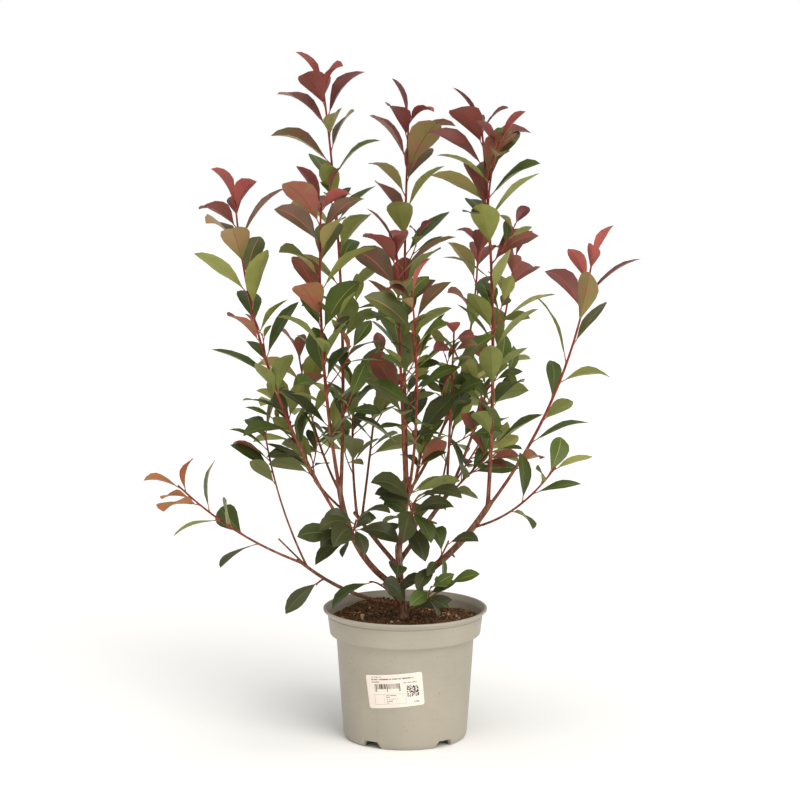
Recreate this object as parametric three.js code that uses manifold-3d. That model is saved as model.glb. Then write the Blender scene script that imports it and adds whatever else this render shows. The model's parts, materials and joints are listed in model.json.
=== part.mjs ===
// A young red-leaved photinia in its nursery pot: one trunk, six boughs, the bare foot of each shoot,
// and a mass of leaves on each shoot. Millimetres, +Z up, the origin under the middle of the pot.
import * as THREE from "three";
import { mergeVertices } from "three/addons/utils/BufferGeometryUtils.js";
import Module from "manifold-3d";

const wasm = await Module();
wasm.setup();

// Driving dimensions of the pot
const POT_HEIGHT = 180;
const RIM_RADIUS = 112.5;
const COLLAR_TOP_RADIUS = 106.5;
const COLLAR_FOOT_RADIUS = 103.3;
const BODY_TOP_RADIUS = 94.6;
const BODY_FOOT_RADIUS = 85.3;
const COLLAR_TOP = 171;
const COLLAR_FOOT = 145;
const BODY_TOP = 140.8;
const FOOT_CORNER = 6;
const RIM_EDGE = 3.5;
const RIM_WIDTH = 3.5;
const WALL = 1.6;
const CHANNEL_HEIGHT = 10;
const CHANNEL_INNER_RADIUS = 55;
const CHANNEL_OUTER_RADIUS = 77;
const FOOT_RING_INNER_RADIUS = 78.5;
const FOOT_RING_OUTER_RADIUS = 82.2;
const CENTRE_PAD_RADIUS = 52;
const POT_SEGMENTS = 32;
const NOTCH_COUNT = 5;
const NOTCH_HEIGHT = 9.6;
const NOTCH_FOOT_WIDTH = 29;
const NOTCH_HEAD_WIDTH = 19;
const NOTCH_REACH = 24;
const NOTCH_START_RADIUS = 69;
const FRONT_FOOT_DEGREES = 3;

// Driving dimensions of the soil and the label. The mound is pairs of share of radius and share of rise.
const GAP = 0.3;
const SOIL_EDGE_HEIGHT = 163;
const SOIL_CROWN_HEIGHT = 165;
const SOIL_CROWN_RADIUS = 12;
const SOIL_MOUND = [[0.66, 0.3], [0.33, 0.7]];
const LABEL_WIDTH = 78;
const LABEL_HEIGHT = 46.5;
const LABEL_THICKNESS = 0.4;
const LABEL_TURN_DEGREES = -9.2;
const LABEL_TILT_DEGREES = 6;
const LABEL_MIDDLE_HEIGHT = 84.4;
const LABEL_COLUMNS = 12;

// Driving dimensions of the plant
const TRUNK_DIAMETER = 12;
const TRUNK_TOP_DIAMETER = 9.6;
const ROOT_FLARE = 1.8;
const ROOT_FLARE_HEIGHT = 9;
const TRUNK_SIDES = 8;
const BOUGH_SIDES = 6;
const TWIG_SIDES = 3;
const LIMB_STEP = 34;
const LEAF_TURN = 137.5;
const LEAF_TURN_SPREAD = 16;
const LEAF_LEAN = { old: 45, young: 36, spread: 10 };
const LEAF_CURL = { old: 26, young: 66, spread: 20 };
const LEAF_TURNS_LATE = 1.7;
const LEAF_ROLL_SPREAD = 30;
const LEAF_LENGTH_SHARES = [0.84, 1.1];
const LONGEST_AT = 0.7;
const SHORTENING = 0.15;
const TIP_LEAF_SHARES = [0.72, 0.64, 0.7];
const DROOP_ENDS_AT = 0.4;
const LEAF_WIDTH_SHARE = 0.45;
const LEAF_KEEL_SHARE = 0.02;
const LEAF_STATIONS = [[0.33, 0.84], [0.68, 0.92]];
const LEAF_STALK_RADIUS = 0.8;
const LEAF_CROWDING = 1.45;
const FIRST_LEAF_AT = 0.03;
const LAST_LEAF_AT = 0.99;
const TOP_LEAF_UPRIGHT = 0.55;
const POT_MOUTH_RADIUS = 96;
const CLEAR_OF_SOIL = 170;
const CLEAR_OF_RIM = 183;
const SEED_STEP = 97;
const SHOOT_SEED = 101;
const SIDE_TWIG_SEED = 53;
const SECOND_TRIES = [[0, 1], [55, 0.95], [-55, 0.95], [110, 0.85], [-110, 0.8]];

// The trunk runs from the soil to its fork.
const TRUNK_FOOT = [-3, 0, SOIL_CROWN_HEIGHT + GAP];
const TRUNK_TOP = [-9, 0, 265];
const TRUNK_BOW = [-1, 0, 0];

// Bare boughs: name, what it springs from and how far along, its tip, the bow of its middle,
// and its diameters at the foot and the tip.
const BOUGHS = [
  ["left_bough", "trunk", 0.4, [-90, -50, 365], [-15, -15, -15], 9, 7.5],
  ["right_bough", "trunk", 0.42, [115, -50, 335], [5, -10, -10], 10, 8],
  ["rear_left_bough", "trunk", 0.7, [-70, 60, 300], [0, 0, -2], 6.5, 5.5],
  ["rear_right_bough", "trunk", 0.78, [65, 60, 335], [0, 0, 0], 7, 6],
  ["leader", "trunk", 0.97, [5, -10, 345], [0, 0, 0], 8, 6.6],
  ["low_left_bough", "trunk", 0.16, [-145, -45, 255], [-5, 0, -10], 5.5, 4.5],
];

// Leafy shoots: the same first columns, then the share of it that is bare, its number of leaves,
// the length of a full leaf, the turn of its top leaf in degrees (0 is backward, 90 is left), and its growth.
const SHOOTS = [
  ["left_front", "left_bough", 0.95, [-110, -95, 740], [-10, -8, 0], 5.2, 2.5, 0.1, 20, 98, 100, "red"],
  ["left_tall", "left_bough", 0.9, [-113, 85, 892], [12, 30, -5], 5.2, 2.5, 0.13, 24, 98, 85, "red"],
  ["left_outer", "left_bough", 0.5, [-226, -40, 740], [-30, -20, -10], 4.8, 2.4, 0.2, 19, 94, 80, "red"],
  ["left_rear", "left_bough", 0.92, [-150, 120, 520], [-5, 10, -15], 3.6, 2.4, 0.25, 9, 82, 60, "red"],
  ["left_inner", "left_bough", 0.8, [-165, 45, 465], [-15, 0, -10], 3.4, 2.4, 0.3, 9, 82, 120, "green"],
  ["rear_left", "rear_left_bough", 0.95, [-70, 110, 475], [-5, 5, 0], 4, 2.4, 0.3, 8, 82, 300, "green"],
  ["rear_left_tall", "rear_left_bough", 0.85, [-35, 165, 505], [0, 18, -10], 3.8, 2.4, 0.35, 8, 84, 30,
    "red"],
  ["centre_tall", "leader", 0.86, [5, 100, 850], [-5, 20, -5], 5.2, 2.5, 0.16, 22, 98, 95, "red"],
  ["centre_front", "leader", 0.72, [-12, -95, 688], [0, -17, -5], 5, 2.5, 0.18, 17, 96, 70, "red"],
  ["centre_near", "leader", 0.9, [8, -150, 630], [9, -19, -9], 4.4, 2.4, 0.25, 12, 88, 250, "red"],
  ["centre_short", "leader", 0.8, [22, 45, 410], [6, 0, 0], 3.2, 2.4, 0, 7, 78, 90, "green"],
  ["rear_right_tall", "leader", 0.95, [103, 150, 680], [24, 35, -24], 4.4, 2.4, 0.25, 13, 86, 290, "red"],
  ["right_inner", "rear_right_bough", 0.9, [64, -95, 570], [0, 0, 0], 4, 2.4, 0.3, 9, 84, 100, "red"],
  ["right_rear", "rear_right_bough", 0.96, [155, 165, 650], [12, 14, -8], 4.4, 2.4, 0.2, 12, 84, 265, "red"],
  ["rear_twig", "rear_right_bough", 0.93, [115, 115, 407], [0, -5, 0], 3, 2.2, 0, 5, 72, 300, "green"],
  ["near_twig", "rear_right_bough", 0.84, [115, 5, 396], [3, 5, 0], 3, 2.2, 0, 6, 72, 250, "green"],
  ["back_twig", "rear_right_bough", 0.72, [77, 150, 447], [0, -8, 5], 3, 2.2, 0.3, 6, 74, 80, "green"],
  ["right_tall", "right_bough", 0.96, [101, -10, 843], [11, 0, 0], 5.6, 2.6, 0.1, 23, 97, 95, "red"],
  ["right_outer", "right_bough", 0.9, [250, -20, 658], [22, -9, -9], 4.8, 2.4, 0.15, 13, 110, 217, "red"],
  ["right_low", "right_bough", 0.78, [196, -140, 398], [3, -8, -12], 3.6, 2.4, 0.35, 6, 70, 240, "green"],
  ["low_left_tip", "low_left_bough", 0.96, [-303, -75, 362], [-5, -5, -8], 3.6, 2.4, 0.25, 9, 86, 120,
    "russet"],
  ["low_left_rise", "low_left_bough", 0.9, [-190, -15, 425], [-7, -2, -2], 3, 2.2, 0.55, 6, 82, 250,
    "green"],
  ["basal_sprig", "trunk", 0.06, [62, -60, 229], [2, 0, -3], 2.8, 2.2, 0, 4, 58, 285, "green"],
  ["spray_low_left", "low_left_bough", 0.7, [-120, -52, 222], [0, 0, 3], 2.8, 2.2, 0, 1, 92, 75, "old"],
  ["spray_rim", "trunk", 0.14, [-48, -50, 226], [-2, -12, 12], 3, 2.2, 0, 3, 92, 10, "old"],
  ["spray_trunk", "trunk", 0.45, [-12, -44, 260], [0, 0, -2], 2.8, 2.2, 0, 1, 104, 115, "old"],
  ["spray_leader", "leader", 0.35, [14, -50, 338], [0, -4, -2], 3, 2.4, 0, 6, 96, 246, "old"],
  ["spray_left", "left_bough", 0.62, [-66, -68, 314], [0, -2, -2], 3, 2.4, 0, 5, 86, 235, "old"],
  ["spray_left_outer", "left_bough", 0.54, [-88, -62, 290], [0, 0, 3], 2.8, 2.2, 0, 2, 74, 300, "old"],
  ["spray_rear", "rear_right_bough", 0.35, [4, 62, 322], [0, 4, -2], 3, 2.4, 0, 5, 84, 20, "old"],
  ["spray_right", "right_bough", 0.3, [58, -66, 285], [0, -4, -4], 3, 2.4, 0, 3, 72, 255, "old"],
];

// A side twig that forks off inside another shoot's leaves, and is one piece with it.
const SIDE_TWIGS = [
  ["right_upper", "right_tall", 0.66, [124, -60, 820], [-8, 9, 3], 3, 2.4, 0.08, 8, 92, 280, "red"],
];

// How young the leaf at the tip of a shoot is, from 0 to 1.
const TIP_YOUTH = { red: 1, russet: 1, green: 0.62, old: 0.15 };

// How many degrees more its oldest leaf leans out, and how far that leaf hangs as a share of straight down.
const OLDEST_LEAN = { red: 0, russet: 8, green: 0, old: 12 };
const OLDEST_DROOP = { red: 0.15, russet: 0.15, green: 0.2, old: 1.2 };

const UP = new THREE.Vector3(0, 0, 1);
const BACKWARD = new THREE.Vector3(0, 1, 0);
const radians = THREE.MathUtils.degToRad;
const vector = (list) => new THREE.Vector3(...list);
const mix = (from, to, share) => from + (to - from) * share;
const spread = (most, roll) => mix(-most, most, roll);

// A closed skin over a row of rings. Each ring runs anticlockwise about the way of travel, and a ring
// of one point closes that end to a tip. Every other strip is split the other way.
function skin(rings) {
  const points = rings.flat();
  const faces = [];
  let here = 0;
  for (let i = 0; i + 1 < rings.length; i++) {
    const near = rings[i].length;
    const far = rings[i + 1].length;
    const next = here + near;
    const strips = Math.max(near, far);
    for (let j = 0; j < strips; j++) {
      const k = (j + 1) % strips;
      const [a, b] = [here + (j % near), here + (k % near)];
      const [c, d] = [next + (k % far), next + (j % far)];
      if (near === 1) faces.push([a, c, d]);
      else if (far === 1) faces.push([a, b, c]);
      else if (j % 2 === 0) faces.push([a, b, c], [a, c, d]);
      else faces.push([a, b, d], [b, c, d]);
    }
    here = next;
  }
  for (let j = 1; j + 1 < rings[0].length; j++) faces.push([0, j + 1, j]);
  for (let j = 1; j + 1 < rings.at(-1).length; j++) faces.push([here, here + j, here + j + 1]);
  return { points, faces };
}

function solidOfSkin({ points, faces }) {
  const vertProperties = new Float32Array(points.flatMap((point) => point.toArray()));
  const triVerts = new Uint32Array(faces.flat());
  return new wasm.Manifold(new wasm.Mesh({ numProp: 3, vertProperties, triVerts }));
}

// A closed solid from a three.js geometry: shared vertices merged, and faces that shrink to a line left out.
function solidOfGeometry(geometry) {
  const plain = geometry.clone();
  plain.deleteAttribute("normal");
  plain.deleteAttribute("uv");
  const merged = mergeVertices(plain, 1e-4);
  const position = merged.getAttribute("position");
  const points = [];
  for (let i = 0; i < position.count; i++) points.push(new THREE.Vector3().fromBufferAttribute(position, i));
  const order = Array.from(merged.index.array);
  const faces = [];
  for (let i = 0; i < order.length; i += 3) {
    const face = order.slice(i, i + 3);
    if (new Set(face).size === 3) faces.push(face);
  }
  return solidOfSkin({ points, faces });
}

function largestPiece(solid) {
  const pieces = solid.decompose();
  return pieces.reduce((best, piece) => (piece.volume() > best.volume() ? piece : best));
}

function meshOf(name, solid, material) {
  const { numProp, vertProperties, triVerts } = solid.getMesh();
  const corners = [];
  for (const vertex of triVerts) {
    corners.push(...vertProperties.slice(vertex * numProp, vertex * numProp + 3));
  }
  const geometry = new THREE.BufferGeometry();
  geometry.setAttribute("position", new THREE.Float32BufferAttribute(corners, 3));
  geometry.computeVertexNormals();
  const mesh = new THREE.Mesh(geometry, material);
  mesh.name = name;
  return mesh;
}

function finish(colour, roughness) {
  return new THREE.MeshStandardMaterial({ color: colour, roughness, metalness: 0 });
}

// A turned solid from a closed profile of radius and height pairs.
function turned(profile) {
  const outline = profile.map(([radius, height]) => new THREE.Vector2(radius, height));
  const geometry = new THREE.LatheGeometry(outline, POT_SEGMENTS);
  geometry.rotateX(Math.PI / 2);
  return solidOfGeometry(geometry);
}

const INNER_WALL = [
  [BODY_FOOT_RADIUS - WALL, CHANNEL_HEIGHT + WALL],
  [BODY_TOP_RADIUS - WALL, BODY_TOP + WALL],
  [COLLAR_FOOT_RADIUS - WALL, COLLAR_FOOT + WALL],
  [COLLAR_TOP_RADIUS - WALL, COLLAR_TOP + WALL],
];

// The pot: a thin wall with a collar and a flared rim, on a ring of feet and a flat centre pad.
function makePot() {
  const profile = [
    [0, 0],
    [CENTRE_PAD_RADIUS, 0],
    [CHANNEL_INNER_RADIUS, CHANNEL_HEIGHT],
    [CHANNEL_OUTER_RADIUS, CHANNEL_HEIGHT],
    [FOOT_RING_INNER_RADIUS, 0],
    [FOOT_RING_OUTER_RADIUS, 0],
    [BODY_FOOT_RADIUS, FOOT_CORNER],
    [BODY_TOP_RADIUS, BODY_TOP],
    [COLLAR_FOOT_RADIUS, COLLAR_FOOT],
    [COLLAR_TOP_RADIUS, COLLAR_TOP],
    [RIM_RADIUS, POT_HEIGHT - RIM_EDGE],
    [RIM_RADIUS, POT_HEIGHT],
    [RIM_RADIUS - RIM_WIDTH, POT_HEIGHT],
    ...INNER_WALL.toReversed(),
    [CHANNEL_INNER_RADIUS - WALL, CHANNEL_HEIGHT + WALL],
    [CENTRE_PAD_RADIUS - WALL, WALL],
    [0, WALL],
  ];
  let pot = turned(profile);
  for (let i = 0; i < NOTCH_COUNT; i++) {
    pot = pot.subtract(solidOfGeometry(notchTool((i + 0.5) * (360 / NOTCH_COUNT) + FRONT_FOOT_DEGREES)));
  }
  return pot;
}

// The cutter of one drainage notch, at an angle from the front of the pot.
function notchTool(degrees) {
  const outline = new THREE.Shape([
    new THREE.Vector2(-NOTCH_FOOT_WIDTH / 2, -1),
    new THREE.Vector2(NOTCH_FOOT_WIDTH / 2, -1),
    new THREE.Vector2(NOTCH_HEAD_WIDTH / 2, NOTCH_HEIGHT),
    new THREE.Vector2(-NOTCH_HEAD_WIDTH / 2, NOTCH_HEIGHT),
  ]);
  const geometry = new THREE.ExtrudeGeometry(outline, { depth: NOTCH_REACH, bevelEnabled: false });
  geometry.rotateX(Math.PI / 2);
  geometry.translate(0, -NOTCH_START_RADIUS, 0);
  geometry.rotateZ(radians(degrees));
  return geometry;
}

// The soil fills the pot up to a low mound round the trunk.
function makeSoil() {
  const wall = INNER_WALL.slice(0, 3).map(([radius, height]) => [radius - GAP, height + GAP]);
  const [, , foot, top] = INNER_WALL;
  const share = (SOIL_EDGE_HEIGHT - foot[1]) / (top[1] - foot[1]);
  const edgeRadius = mix(foot[0], top[0], share) - GAP;
  return turned([
    [0, WALL + GAP],
    [CENTRE_PAD_RADIUS - WALL - 2 * GAP, WALL + GAP],
    [CHANNEL_INNER_RADIUS - WALL - 2 * GAP, CHANNEL_HEIGHT + WALL + GAP],
    ...wall,
    [edgeRadius, SOIL_EDGE_HEIGHT],
    ...SOIL_MOUND.map(([out, rise]) => [edgeRadius * out, mix(SOIL_EDGE_HEIGHT, SOIL_CROWN_HEIGHT, rise)]),
    [SOIL_CROWN_RADIUS, SOIL_CROWN_HEIGHT],
    [0, SOIL_CROWN_HEIGHT],
  ]);
}

// The label: a thin tilted rectangle wrapped round the sloping side of the pot.
function makeLabel() {
  const slope = (BODY_TOP_RADIUS - BODY_FOOT_RADIUS) / (BODY_TOP - FOOT_CORNER);
  const middle = BODY_FOOT_RADIUS + slope * (LABEL_MIDDLE_HEIGHT - FOOT_CORNER);
  const tilt = radians(LABEL_TILT_DEGREES);
  const place = (across, up, lift) => {
    const along = across * Math.cos(tilt) - up * Math.sin(tilt);
    const rise = across * Math.sin(tilt) + up * Math.cos(tilt);
    const turn = radians(LABEL_TURN_DEGREES) + along / middle;
    const radius = middle + slope * rise + lift;
    return new THREE.Vector3(radius * Math.sin(turn), -radius * Math.cos(turn), LABEL_MIDDLE_HEIGHT + rise);
  };
  const rings = [];
  for (let i = 0; i <= LABEL_COLUMNS; i++) {
    const across = (i / LABEL_COLUMNS - 0.5) * LABEL_WIDTH;
    const half = LABEL_HEIGHT / 2;
    const outer = GAP + LABEL_THICKNESS;
    rings.push([place(across, half, GAP), place(across, half, outer), place(across, -half, outer),
      place(across, -half, GAP)]);
  }
  return solidOfSkin(skin(rings));
}

// A limb bends once along its axis and tapers evenly from its foot to its tip.
function limbFrom(row, start) {
  const [, , , tip, bow, footDiameter, tipDiameter] = row;
  const end = vector(tip);
  const knee = start.clone().add(end).multiplyScalar(0.5).addScaledVector(vector(bow), 2);
  const curve = new THREE.QuadraticBezierCurve3(start, knee, end);
  const radius = (t) => mix(footDiameter, tipDiameter, t) / 2;
  return { curve, radius, length: curve.getLength() };
}

function directionAt({ curve }, t) {
  const first = curve.v1.clone().sub(curve.v0);
  const last = curve.v2.clone().sub(curve.v1);
  return first.lerp(last, t).normalize();
}

// Two directions square to the limb: backward as far as it can be, and the one beside it.
function frameAt(limb, t, along = directionAt(limb, t)) {
  const back = BACKWARD.clone().addScaledVector(along, -BACKWARD.dot(along)).normalize();
  return { along, back, side: along.clone().cross(back) };
}

// A tapering tube along part of a limb. Its flat sides hold the same area as the round limb does.
function tube(limb, from, to, sides, grown = 0) {
  const ends = grown / limb.length;
  const steps = Math.max(2, Math.ceil(((to - from) * limb.length) / LIMB_STEP));
  const fullness = Math.sqrt((2 * Math.PI) / (sides * Math.sin((2 * Math.PI) / sides)));
  const rings = [];
  for (let i = 0; i <= steps; i++) {
    const t = mix(from - ends, to + ends, i / steps);
    const { back, side } = frameAt(limb, t, limb.level && i === 0 ? UP : undefined);
    const middle = limb.curve.getPoint(t);
    const radius = limb.radius(t) * fullness + grown;
    const ring = [];
    for (let j = 0; j < sides; j++) {
      const angle = (j / sides) * 2 * Math.PI;
      ring.push(middle.clone().addScaledVector(between(back, side, angle), radius));
    }
    rings.push(ring);
  }
  return skin(rings);
}

// One leaf: its rib starts on the shoot's axis along one direction and curls to another, most of it near
// the tip, with a keel below.
function leafSkin({ seat, first, last, side, roll, length }) {
  const half = (length * LEAF_WIDTH_SHARE) / 2;
  const ring = (share, width, keel) => {
    const along = first.clone().lerp(last, share ** LEAF_TURNS_LATE).normalize();
    const level = side.clone().addScaledVector(along, -side.dot(along)).normalize();
    const across = level.applyAxisAngle(along, roll);
    const up = along.clone().cross(across);
    const bent = share ** (LEAF_TURNS_LATE + 1) / (LEAF_TURNS_LATE + 1);
    const rib = seat.clone().addScaledVector(first, length * (share - bent));
    rib.addScaledVector(last, length * bent);
    if (width === 0) return [rib];
    const below = rib.clone().addScaledVector(up, -keel);
    return [rib.clone().addScaledVector(across, width), rib.clone().addScaledVector(across, -width), below];
  };
  const keel = length * LEAF_KEEL_SHARE;
  const blade = LEAF_STATIONS.map(([share, fullness]) => ring(share, half * fullness, keel));
  return skin([ring(0, LEAF_STALK_RADIUS, LEAF_STALK_RADIUS), ...blade, ring(1, 0, 0)]);
}

// The same chain of numbers from 0 to 1 for the same seed.
function dice(seed) {
  let state = seed;
  return () => {
    state = (state * 9301 + 49297) % 233280;
    return state / 233280;
  };
}

// The leaves of a shoot, by a rule: they stand in a spiral, closer towards the tip. Young leaves point
// up and their tips roll outwards, old ones lean out and droop, and the last ones of a red tip are short.
function leafPlan(row, seed) {
  const [, , , , , , , bare, count, fullLength, topTurn, growth] = row;
  const next = dice(seed);
  const plan = [];
  for (let i = 0; i < count; i++) {
    const [turnRoll, sizeRoll, leanRoll, curlRoll, rollRoll] = [next(), next(), next(), next(), next()];
    const rise = (i + 0.5) / count;
    const youth = rise * TIP_YOUTH[growth];
    const fromTip = count - 1 - i;
    const upright = fromTip === 0 ? TOP_LEAF_UPRIGHT : 1;
    const lean = mix(LEAF_LEAN.old + OLDEST_LEAN[growth], LEAF_LEAN.young, youth);
    const curl = mix(LEAF_CURL.old, LEAF_CURL.young, youth ** 2);
    const redTip = growth === "red" || growth === "russet";
    const tipShare = redTip && fromTip < TIP_LEAF_SHARES.length ? TIP_LEAF_SHARES[fromTip] : 1;
    const length = fullLength * tipShare * mix(...LEAF_LENGTH_SHARES, sizeRoll);
    plan.push({
      t: mix(bare, 1, mix(FIRST_LEAF_AT, LAST_LEAF_AT, 1 - (1 - rise) ** LEAF_CROWDING)),
      turn: topTurn + fromTip * LEAF_TURN + spread(LEAF_TURN_SPREAD, turnRoll),
      length: length * (1 - SHORTENING * Math.abs(youth - LONGEST_AT)),
      lean: radians((lean + spread(LEAF_LEAN.spread, leanRoll)) * upright),
      curl: radians((curl + spread(LEAF_CURL.spread, curlRoll)) * upright),
      droop: OLDEST_DROOP[growth] * Math.max(0, 1 - youth / DROOP_ENDS_AT),
      roll: radians(spread(LEAF_ROLL_SPREAD, rollRoll)),
    });
  }
  return plan;
}

// A direction a number of radians away from one axis towards another.
function between(axis, other, angle) {
  return axis.clone().multiplyScalar(Math.cos(angle)).addScaledVector(other, Math.sin(angle));
}

function placeLeaf(limb, plan, [extraTurn, shrink]) {
  const { along, back, side } = frameAt(limb, plan.t);
  const out = between(back, side, radians(plan.turn + extraTurn));
  const last = between(along, out, plan.lean + plan.curl).addScaledVector(UP, -plan.droop);
  return {
    seat: limb.curve.getPoint(plan.t),
    first: between(along, out, plan.lean),
    last: last.normalize(),
    side: along.clone().cross(out),
    roll: plan.roll,
    length: plan.length * shrink,
  };
}

// A body to keep clear of: its triangles and the ball round them.
function obstacle(owner, { points, faces }) {
  const middle = new THREE.Vector3();
  for (const point of points) middle.addScaledVector(point, 1 / points.length);
  const reach = Math.max(...points.map((point) => point.distanceTo(middle)));
  return { owner, middle, reach, triangles: faces.map((face) => face.map((index) => points[index])) };
}

function edgePierces(from, to, [a, b, c]) {
  const way = to.clone().sub(from);
  const [ab, ac] = [b.clone().sub(a), c.clone().sub(a)];
  const across = way.clone().cross(ac);
  const size = ab.dot(across);
  if (Math.abs(size) < 1e-9) return false;
  const offset = from.clone().sub(a);
  const u = offset.dot(across) / size;
  if (u < 0 || u > 1) return false;
  const lift = offset.cross(ab);
  const v = way.dot(lift) / size;
  if (v < 0 || u + v > 1) return false;
  const share = ac.dot(lift) / size;
  return share >= 0 && share <= 1;
}

function anyEdgePierces(one, other) {
  return one.triangles.some(([a, b, c]) => other.triangles.some((triangle) => (
    edgePierces(a, b, triangle) || edgePierces(b, c, triangle) || edgePierces(c, a, triangle)
  )));
}

function touches(one, other) {
  if (one.middle.distanceTo(other.middle) > one.reach + other.reach) return false;
  return anyEdgePierces(one, other) || anyEdgePierces(other, one);
}

function clearOfPot(points) {
  const floorAt = (x, y) => (Math.hypot(x, y) < POT_MOUTH_RADIUS ? CLEAR_OF_SOIL : CLEAR_OF_RIM);
  return points.every(({ x, y, z }) => z > floorAt(x, y));
}

// All limbs first, each cut clear of the limbs it springs from or passes.
const limbs = new Map();
const obstacles = [];
const limbRooms = [];

function addLimbSolid(limb, from, to, sides) {
  let solid = solidOfSkin(tube(limb, from, to, sides));
  for (const other of limbRooms) solid = solid.subtract(other);
  solid = largestPiece(solid);
  const room = tube(limb, from, to, sides, GAP);
  limbRooms.push(solidOfSkin(room));
  obstacles.push(obstacle(null, room));
  return solid;
}

const trunkRow = ["trunk", null, 0, TRUNK_TOP, TRUNK_BOW, TRUNK_DIAMETER, TRUNK_TOP_DIAMETER];
const trunk = limbFrom(trunkRow, vector(TRUNK_FOOT));
const evenTaper = trunk.radius;
trunk.radius = (t) => {
  const rise = Math.max(t, 0) * trunk.length;
  return evenTaper(t) + ROOT_FLARE * Math.exp(-rise / ROOT_FLARE_HEIGHT);
};
trunk.level = true;
limbs.set("trunk", trunk);

for (const row of [...BOUGHS, ...SHOOTS, ...SIDE_TWIGS]) {
  const [name, parent, share] = row;
  limbs.set(name, limbFrom(row, limbs.get(parent).curve.getPoint(share)));
}

const bark = finish(0x6e5a45, 0.75);
const redBark = finish(0x8a4a36, 0.6);
const foliage = finish(0x55602e, 0.5);
const model = new THREE.Group();

model.add(meshOf("pot", makePot(), finish(0xbeb5a4, 0.55)));
model.add(meshOf("soil", makeSoil(), finish(0x3d2a1b, 0.95)));
model.add(meshOf("label", makeLabel(), finish(0xf0e6da, 0.6)));
model.add(meshOf("trunk", addLimbSolid(trunk, 0, 1, TRUNK_SIDES), bark));
for (const [name] of BOUGHS) {
  model.add(meshOf(name, addLimbSolid(limbs.get(name), 0, 1, BOUGH_SIDES), bark));
}
for (const [name, , , , , , , bare] of SHOOTS) {
  if (bare === 0) continue;
  const bough = addLimbSolid(limbs.get(name), 0, bare, BOUGH_SIDES);
  model.add(meshOf(`bough_${name}`, bough, redBark));
}

// Then the masses: the rest of each shoot, with its leaves fused on where nothing else is in the way.
function twigOf(row) {
  const [name, , , , , , , bare] = row;
  const limb = limbs.get(name);
  const from = bare === 0 ? 0 : bare + GAP / limb.length;
  return tube(limb, from, 1, TWIG_SIDES);
}

function leafSkins(row, seed, owner) {
  const limb = limbs.get(row[0]);
  const skins = [];
  for (const plan of leafPlan(row, seed)) {
    for (const attempt of SECOND_TRIES) {
      const leaf = leafSkin(placeLeaf(limb, plan, attempt));
      const body = obstacle(owner, leaf);
      const free = clearOfPot(leaf.points)
        && obstacles.every((other) => other.owner === owner || !touches(body, other));
      if (!free) continue;
      obstacles.push(body);
      skins.push(leaf);
      break;
    }
  }
  return skins;
}

for (const row of SHOOTS) obstacles.push(obstacle(row[0], twigOf(row)));

for (const [index, row] of SHOOTS.entries()) {
  const [name] = row;
  const skins = [twigOf(row), ...leafSkins(row, SHOOT_SEED + SEED_STEP * index, name)];
  for (const side of SIDE_TWIGS.filter(([, parent]) => parent === name)) {
    skins.push(tube(limbs.get(side[0]), 0, 1, TWIG_SIDES));
    skins.push(...leafSkins(side, SIDE_TWIG_SEED + SEED_STEP * index, name));
  }
  let mass = solidOfSkin(skins[0]);
  for (const piece of skins.slice(1)) mass = mass.add(solidOfSkin(piece));
  for (const room of limbRooms) mass = mass.subtract(room);
  model.add(meshOf(`mass_${name}`, largestPiece(mass), foliage));
}

export default model;
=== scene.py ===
"""A young red-leaved photinia in its nursery pot, with its bark, leaves, soil and label finished.

Sizes in the tables are millimetres and every mesh is made in metres, +Z up, with the origin under
the middle of the pot. The limbs and the leaves follow the same seeded rule as the part's source.
"""
import json
import math
from collections import namedtuple

import bpy
import numpy as np
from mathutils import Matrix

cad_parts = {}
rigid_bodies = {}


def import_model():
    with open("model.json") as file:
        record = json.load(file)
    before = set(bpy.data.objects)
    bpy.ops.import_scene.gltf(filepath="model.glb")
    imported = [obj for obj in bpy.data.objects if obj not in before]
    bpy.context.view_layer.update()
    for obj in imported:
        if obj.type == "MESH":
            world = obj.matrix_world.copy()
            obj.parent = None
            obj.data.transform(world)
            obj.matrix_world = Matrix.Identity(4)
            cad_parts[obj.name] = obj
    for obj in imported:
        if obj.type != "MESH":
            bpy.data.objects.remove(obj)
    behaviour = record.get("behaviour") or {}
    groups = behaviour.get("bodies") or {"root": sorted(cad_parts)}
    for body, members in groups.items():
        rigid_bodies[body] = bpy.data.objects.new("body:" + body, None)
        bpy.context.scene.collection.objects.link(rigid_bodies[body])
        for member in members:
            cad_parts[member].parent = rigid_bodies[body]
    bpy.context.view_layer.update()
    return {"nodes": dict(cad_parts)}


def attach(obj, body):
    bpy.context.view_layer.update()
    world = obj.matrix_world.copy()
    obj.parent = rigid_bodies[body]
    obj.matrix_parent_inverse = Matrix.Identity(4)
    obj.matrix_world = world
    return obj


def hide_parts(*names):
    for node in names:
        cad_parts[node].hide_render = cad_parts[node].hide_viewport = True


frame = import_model()

MM = 0.001
UP = np.array([0.0, 0.0, 1.0])
BACKWARD = np.array([0.0, 1.0, 0.0])
WHITE = (1, 1, 1, 1)
RIPPLE_WAVES = 24
RIPPLE_LENGTHS = (0.6, 1.7)
RIPPLE_PEAK = 2.2
EASE_POINTS = 4
EASE_SHARE = 0.48
LENGTH_POINTS = 201

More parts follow.
